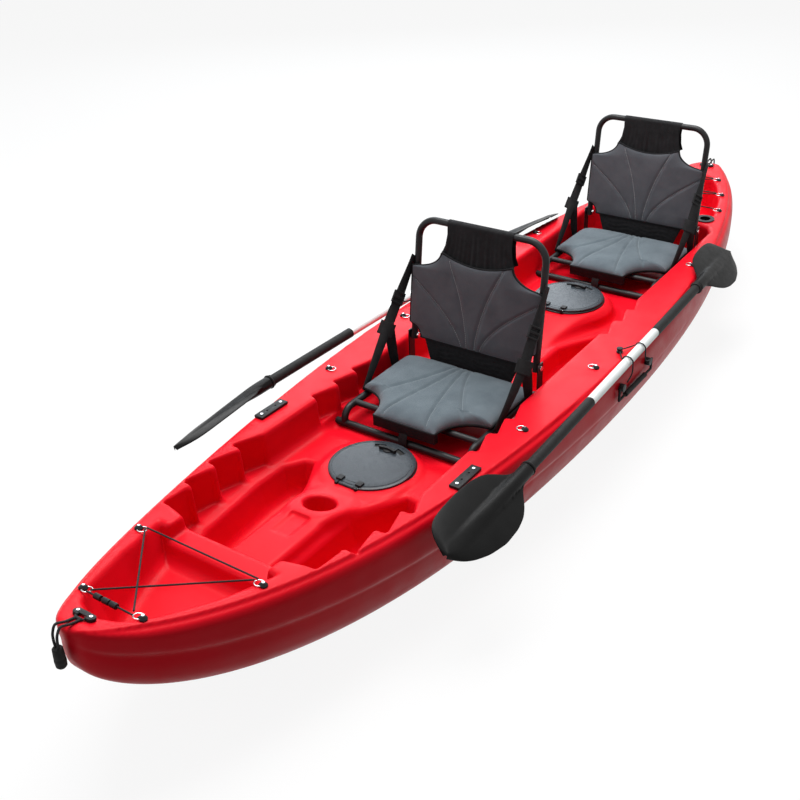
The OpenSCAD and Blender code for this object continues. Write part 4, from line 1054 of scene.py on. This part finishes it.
def make_keepers(s, side):
    """Stretch cords from the deck button over the shaft to the hull side, in halves that meet above it."""
    radius = SHAFT_R + 0.0040
    for tag, k in (("fore", 1), ("aft", -1)):
        x = HANDLE_X + k * 0.052
        axis_y = PADDLE.y + (x - PADDLE.x) * math.tan(PADDLE_YAW)
        over = [(x, s * (axis_y + radius * math.cos(a)), PADDLE.z + radius * math.sin(a))
                for a in (math.radians(q) for q in (160, 125, 95, 65, 35, 8))]
        button = (HANDLE_X + k * 0.011, s * 0.384, 0.3105)
        outer = [(x, s * 0.4459, 0.270), (HANDLE_X + k * 0.084, s * 0.4459, 0.254)]
        name = f"{side}_keeper_{tag}"
        inner = add_tube(f"{name}_inner", smooth_path([button] + over[:3], 8), BUNGEE_R, None, 10)
        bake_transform(inner)
        outside = add_tube(f"{name}_outer", smooth_path(over[2:] + outer, 8), BUNGEE_R, None, 10)
        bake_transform(outside)
        for piece in (inner, outside):
            dress(piece, CORD)
        if k > 0:
            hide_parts(f"{side}_keeper")


# Hatch lids and latches
CLIP_Y = 0.033


def make_lid(end, x0, z0):
    """A dished lid over the rim, with hinge notches in front and two finger slots behind."""
    body = f"{end}_lid"
    base, top, edge = z0 + 0.009, z0 + 0.014, HATCH_R - 0.0035
    profile = [(0.0005, base), (edge - 0.013, base), (edge - 0.012, base - 0.0015),
               (edge - 0.0012, base - 0.0015), (edge, base), (edge, top - 0.0032),
               (edge - 0.0009, top - 0.0014), (edge - 0.0030, top - 0.0004), (edge - 0.010, top + 0.0002),
               (edge - 0.0106, top - 0.0008), (edge - 0.0118, top - 0.0008), (edge - 0.0124, top + 0.0003)]
    for r in np.linspace(edge - 0.02, 0.0005, 16):
        profile.append((float(r), top + 0.002 - 0.0016 * (float(r) / edge) ** 2))
    lid = lathe(f"{end}_hatch_cover", profile, body, x0, 128)
    tools = [block("tool", (x0 + 0.1235, -0.2, base - 0.02), (x0 + 0.2, 0.2, top + 0.02))]
    for s, _ in SIDES:
        tools.append(block("tool", (x0 + 0.1145, s * CLIP_Y - 0.0055, base - 0.02),
                           (x0 + 0.2, s * CLIP_Y + 0.0055, top + 0.02)))
        tools.append(arc_block("tool", x0, 0.088, 0.104, 180 + s * 11, 180 + s * 31,
                               top - 0.0032, top + 0.02))
    tools.append(block("tool", (x0 + 0.1010, -0.0235, top - 0.0012), (x0 + 0.1024, 0.0235, top + 0.02)))
    carve(lid, tools)
    dress(lid, HATCH)
    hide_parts(f"{end}_hatch_lid")
    split_edges(lid, math.radians(30))
    for s, side in SIDES:
        slot = arc_block(f"{end}_finger_slot_{side}", x0, 0.0882, 0.1038, 180 + s * 11.2, 180 + s * 30.8,
                         top - 0.0032, top - 0.0026, body)
        dress(slot, RUBBER)
        clip = block(f"{end}_hinge_clip_{side}", (x0 + 0.0935, s * CLIP_Y - 0.0095, top - 0.001),
                     (x0 + 0.1138, s * CLIP_Y + 0.0095, top + 0.0064), body)
        soften(clip, 0.0014)
        dress(clip, BLACK)
    line = [(x0 + HATCH_R - 0.008, y, z0 + 0.011) for y in np.linspace(-0.026, 0.026, 14)]
    dress(add_tube(f"{end}_lid_knuckle", line, 0.0046, body, 18), HATCH)


def make_latch(end, x0, z0):
    """A low turning grip bent along the lid's edge, on the spindle and cam that hold the lid."""
    body = f"{end}_latch"
    x1, top = x0 - (HATCH_R - 0.015) + 0.034, z0 + 0.0149
    profile = [(0.0005, z0 - 0.029), (0.006, z0 - 0.029), (0.006, top), (0.0148, top), (0.0150, top + 0.0012),
               (0.0138, top + 0.0034), (0.0110, top + 0.0044), (0.0005, top + 0.0048)]
    hub = lathe(f"{end}_latch_hub", profile, body, x1, 48)
    dress(hub, BLACK)
    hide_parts(f"{end}_hatch_latch")
    grip = arc_block(f"{end}_latch_grip", x1 + 0.095, 0.0905, 0.0995, 163, 197,
                     top + 0.0005, top + 0.0105, body, 24, top_points=2)
    soften(grip, 0.0022)
    dress(grip, BLACK)
    cam = block(f"{end}_latch_cam", (x1 - 0.007, -0.017, z0 - 0.029), (x1 + 0.007, 0.006, z0 - 0.024), body)
    soften(cam, 0.0008)
    dress(cam, BLACK)


# End handle staples
def make_staple(body, sign):
    """The staple on an end plate and the cord eye that turns on it."""
    z = float(rail(sign * END_PIVOT_X)) + END_PIVOT_LIFT
    route = [(1.789, -0.0130), (1.8000, -0.0130), (END_PIVOT_X, -0.0104),
             (END_PIVOT_X, 0.0104), (1.8000, 0.0130), (1.789, 0.0130)]
    route = [(sign * x, y, z) for x, y in route]
    dress(add_tube(f"{body}_staple", route, STAPLE_R, "hull", 12), BLACK)
    line = [(sign * END_PIVOT_X, y, z) for y in np.linspace(-0.0106, 0.0106, 7)]
    dress(add_tube(f"{body}_eye", line, 0.0038, body, 20), CORD)


make_staple("bow_handle", 1)
make_staple("stern_handle", -1)
for cord in CORDS:
    dress(cord, CORD)
for end, shift in SEATS:
    make_straps(end, shift)
for s, side in SIDES:
    make_blade(f"{side}_front_spoon", f"{side}_front_blade", f"{side}_paddle", s, 1)
    make_blade(f"{side}_rear_spoon", f"{side}_rear_blade", f"{side}_paddle_rear", s, -1)
    make_keepers(s, side)
for end, x0, z0 in HATCHES:
    make_lid(end, x0, z0)
    make_latch(end, x0, z0)


# Plain pale floor, white world and soft studio lamps
WORLD_LEVEL = 0.22
FLOOR_REACH, FLOOR_DROP = 120.0, 0.001
FLOOR_WHITE, FLOOR_SEEN, FLOOR_BOUNCE = 0.90, 0.9, 0.2
LAMPS = (("key", (-0.5, -0.7, 4.4), (0, 0, 0.2), (4.0, 2.4), 300, (1, 1, 1)),
         ("back", (-4.0, -2.9, 2.9), (0.2, 0.1, 0.2), (4.5, 3.0), 130, (0.84, 0.92, 1)),
         ("fill", (3.6, -1.2, 2.6), (0, 0, 0.2), (2.5, 2.0), 20, (0.90, 0.95, 1)))


def add_level(tree, hidden, seen):
    """A level for what the eye, a reflection or a clear piece sees, and another for light on the object."""
    path = tree.nodes.new("ShaderNodeLightPath")
    ray = path.outputs["Is Camera Ray"]
    for other in ("Is Glossy Ray", "Is Transmission Ray"):
        ray = math_node(tree, "MAXIMUM", ray, path.outputs[other])
    return ranged(tree, ray, hidden, seen, 0.0, 1.0)


def make_stage():
    scene = bpy.context.scene
    scene.view_settings.view_transform = "Standard"
    world = bpy.data.worlds.new("studio")
    scene.world = world
    world.use_nodes = True
    tree = world.node_tree
    back = tree.nodes["Background"]
    back.inputs["Color"].default_value = (1, 1, 1, 1)
    tree.links.new(add_level(tree, WORLD_LEVEL, 1.0), back.inputs["Strength"])

    floor = bpy.data.meshes.new("floor")
    r = FLOOR_REACH
    corners = [(x, y, -FLOOR_DROP) for x, y in ((-r, -r), (r, -r), (r, r), (-r, r))]
    floor.from_pydata(corners, [], [(0, 1, 2, 3)])
    obj = bpy.data.objects.new("floor", floor)
    scene.collection.objects.link(obj)
    mat = bpy.data.materials.new("floor")
    mat.use_nodes = True
    tree = mat.node_tree
    tree.nodes.clear()
    glow = add_node(tree, "Emission", {"Strength": 1.0}).outputs[0]
    diffuse = add_node(tree, "BsdfDiffuse", {"Color": add_level(tree, FLOOR_BOUNCE, FLOOR_SEEN)}).outputs[0]
    white = add_level(tree, 0.0, FLOOR_WHITE)
    mix = add_node(tree, "MixShader", {"Fac": white, 1: diffuse, 2: glow}).outputs[0]
    add_node(tree, "OutputMaterial", {"Surface": mix})
    floor.materials.append(mat)

    for name, place, target, size, power, tint in LAMPS:
        data = bpy.data.lights.new(name, "AREA")
        data.shape = "RECTANGLE"
        data.size, data.size_y = size
        data.energy = power
        data.color = tint
        lamp = bpy.data.objects.new(name, data)
        lamp.location = place
        lamp.rotation_euler = (Vector(target) - Vector(place)).to_track_quat("-Z", "Y").to_euler()
        scene.collection.objects.link(lamp)


make_stage()
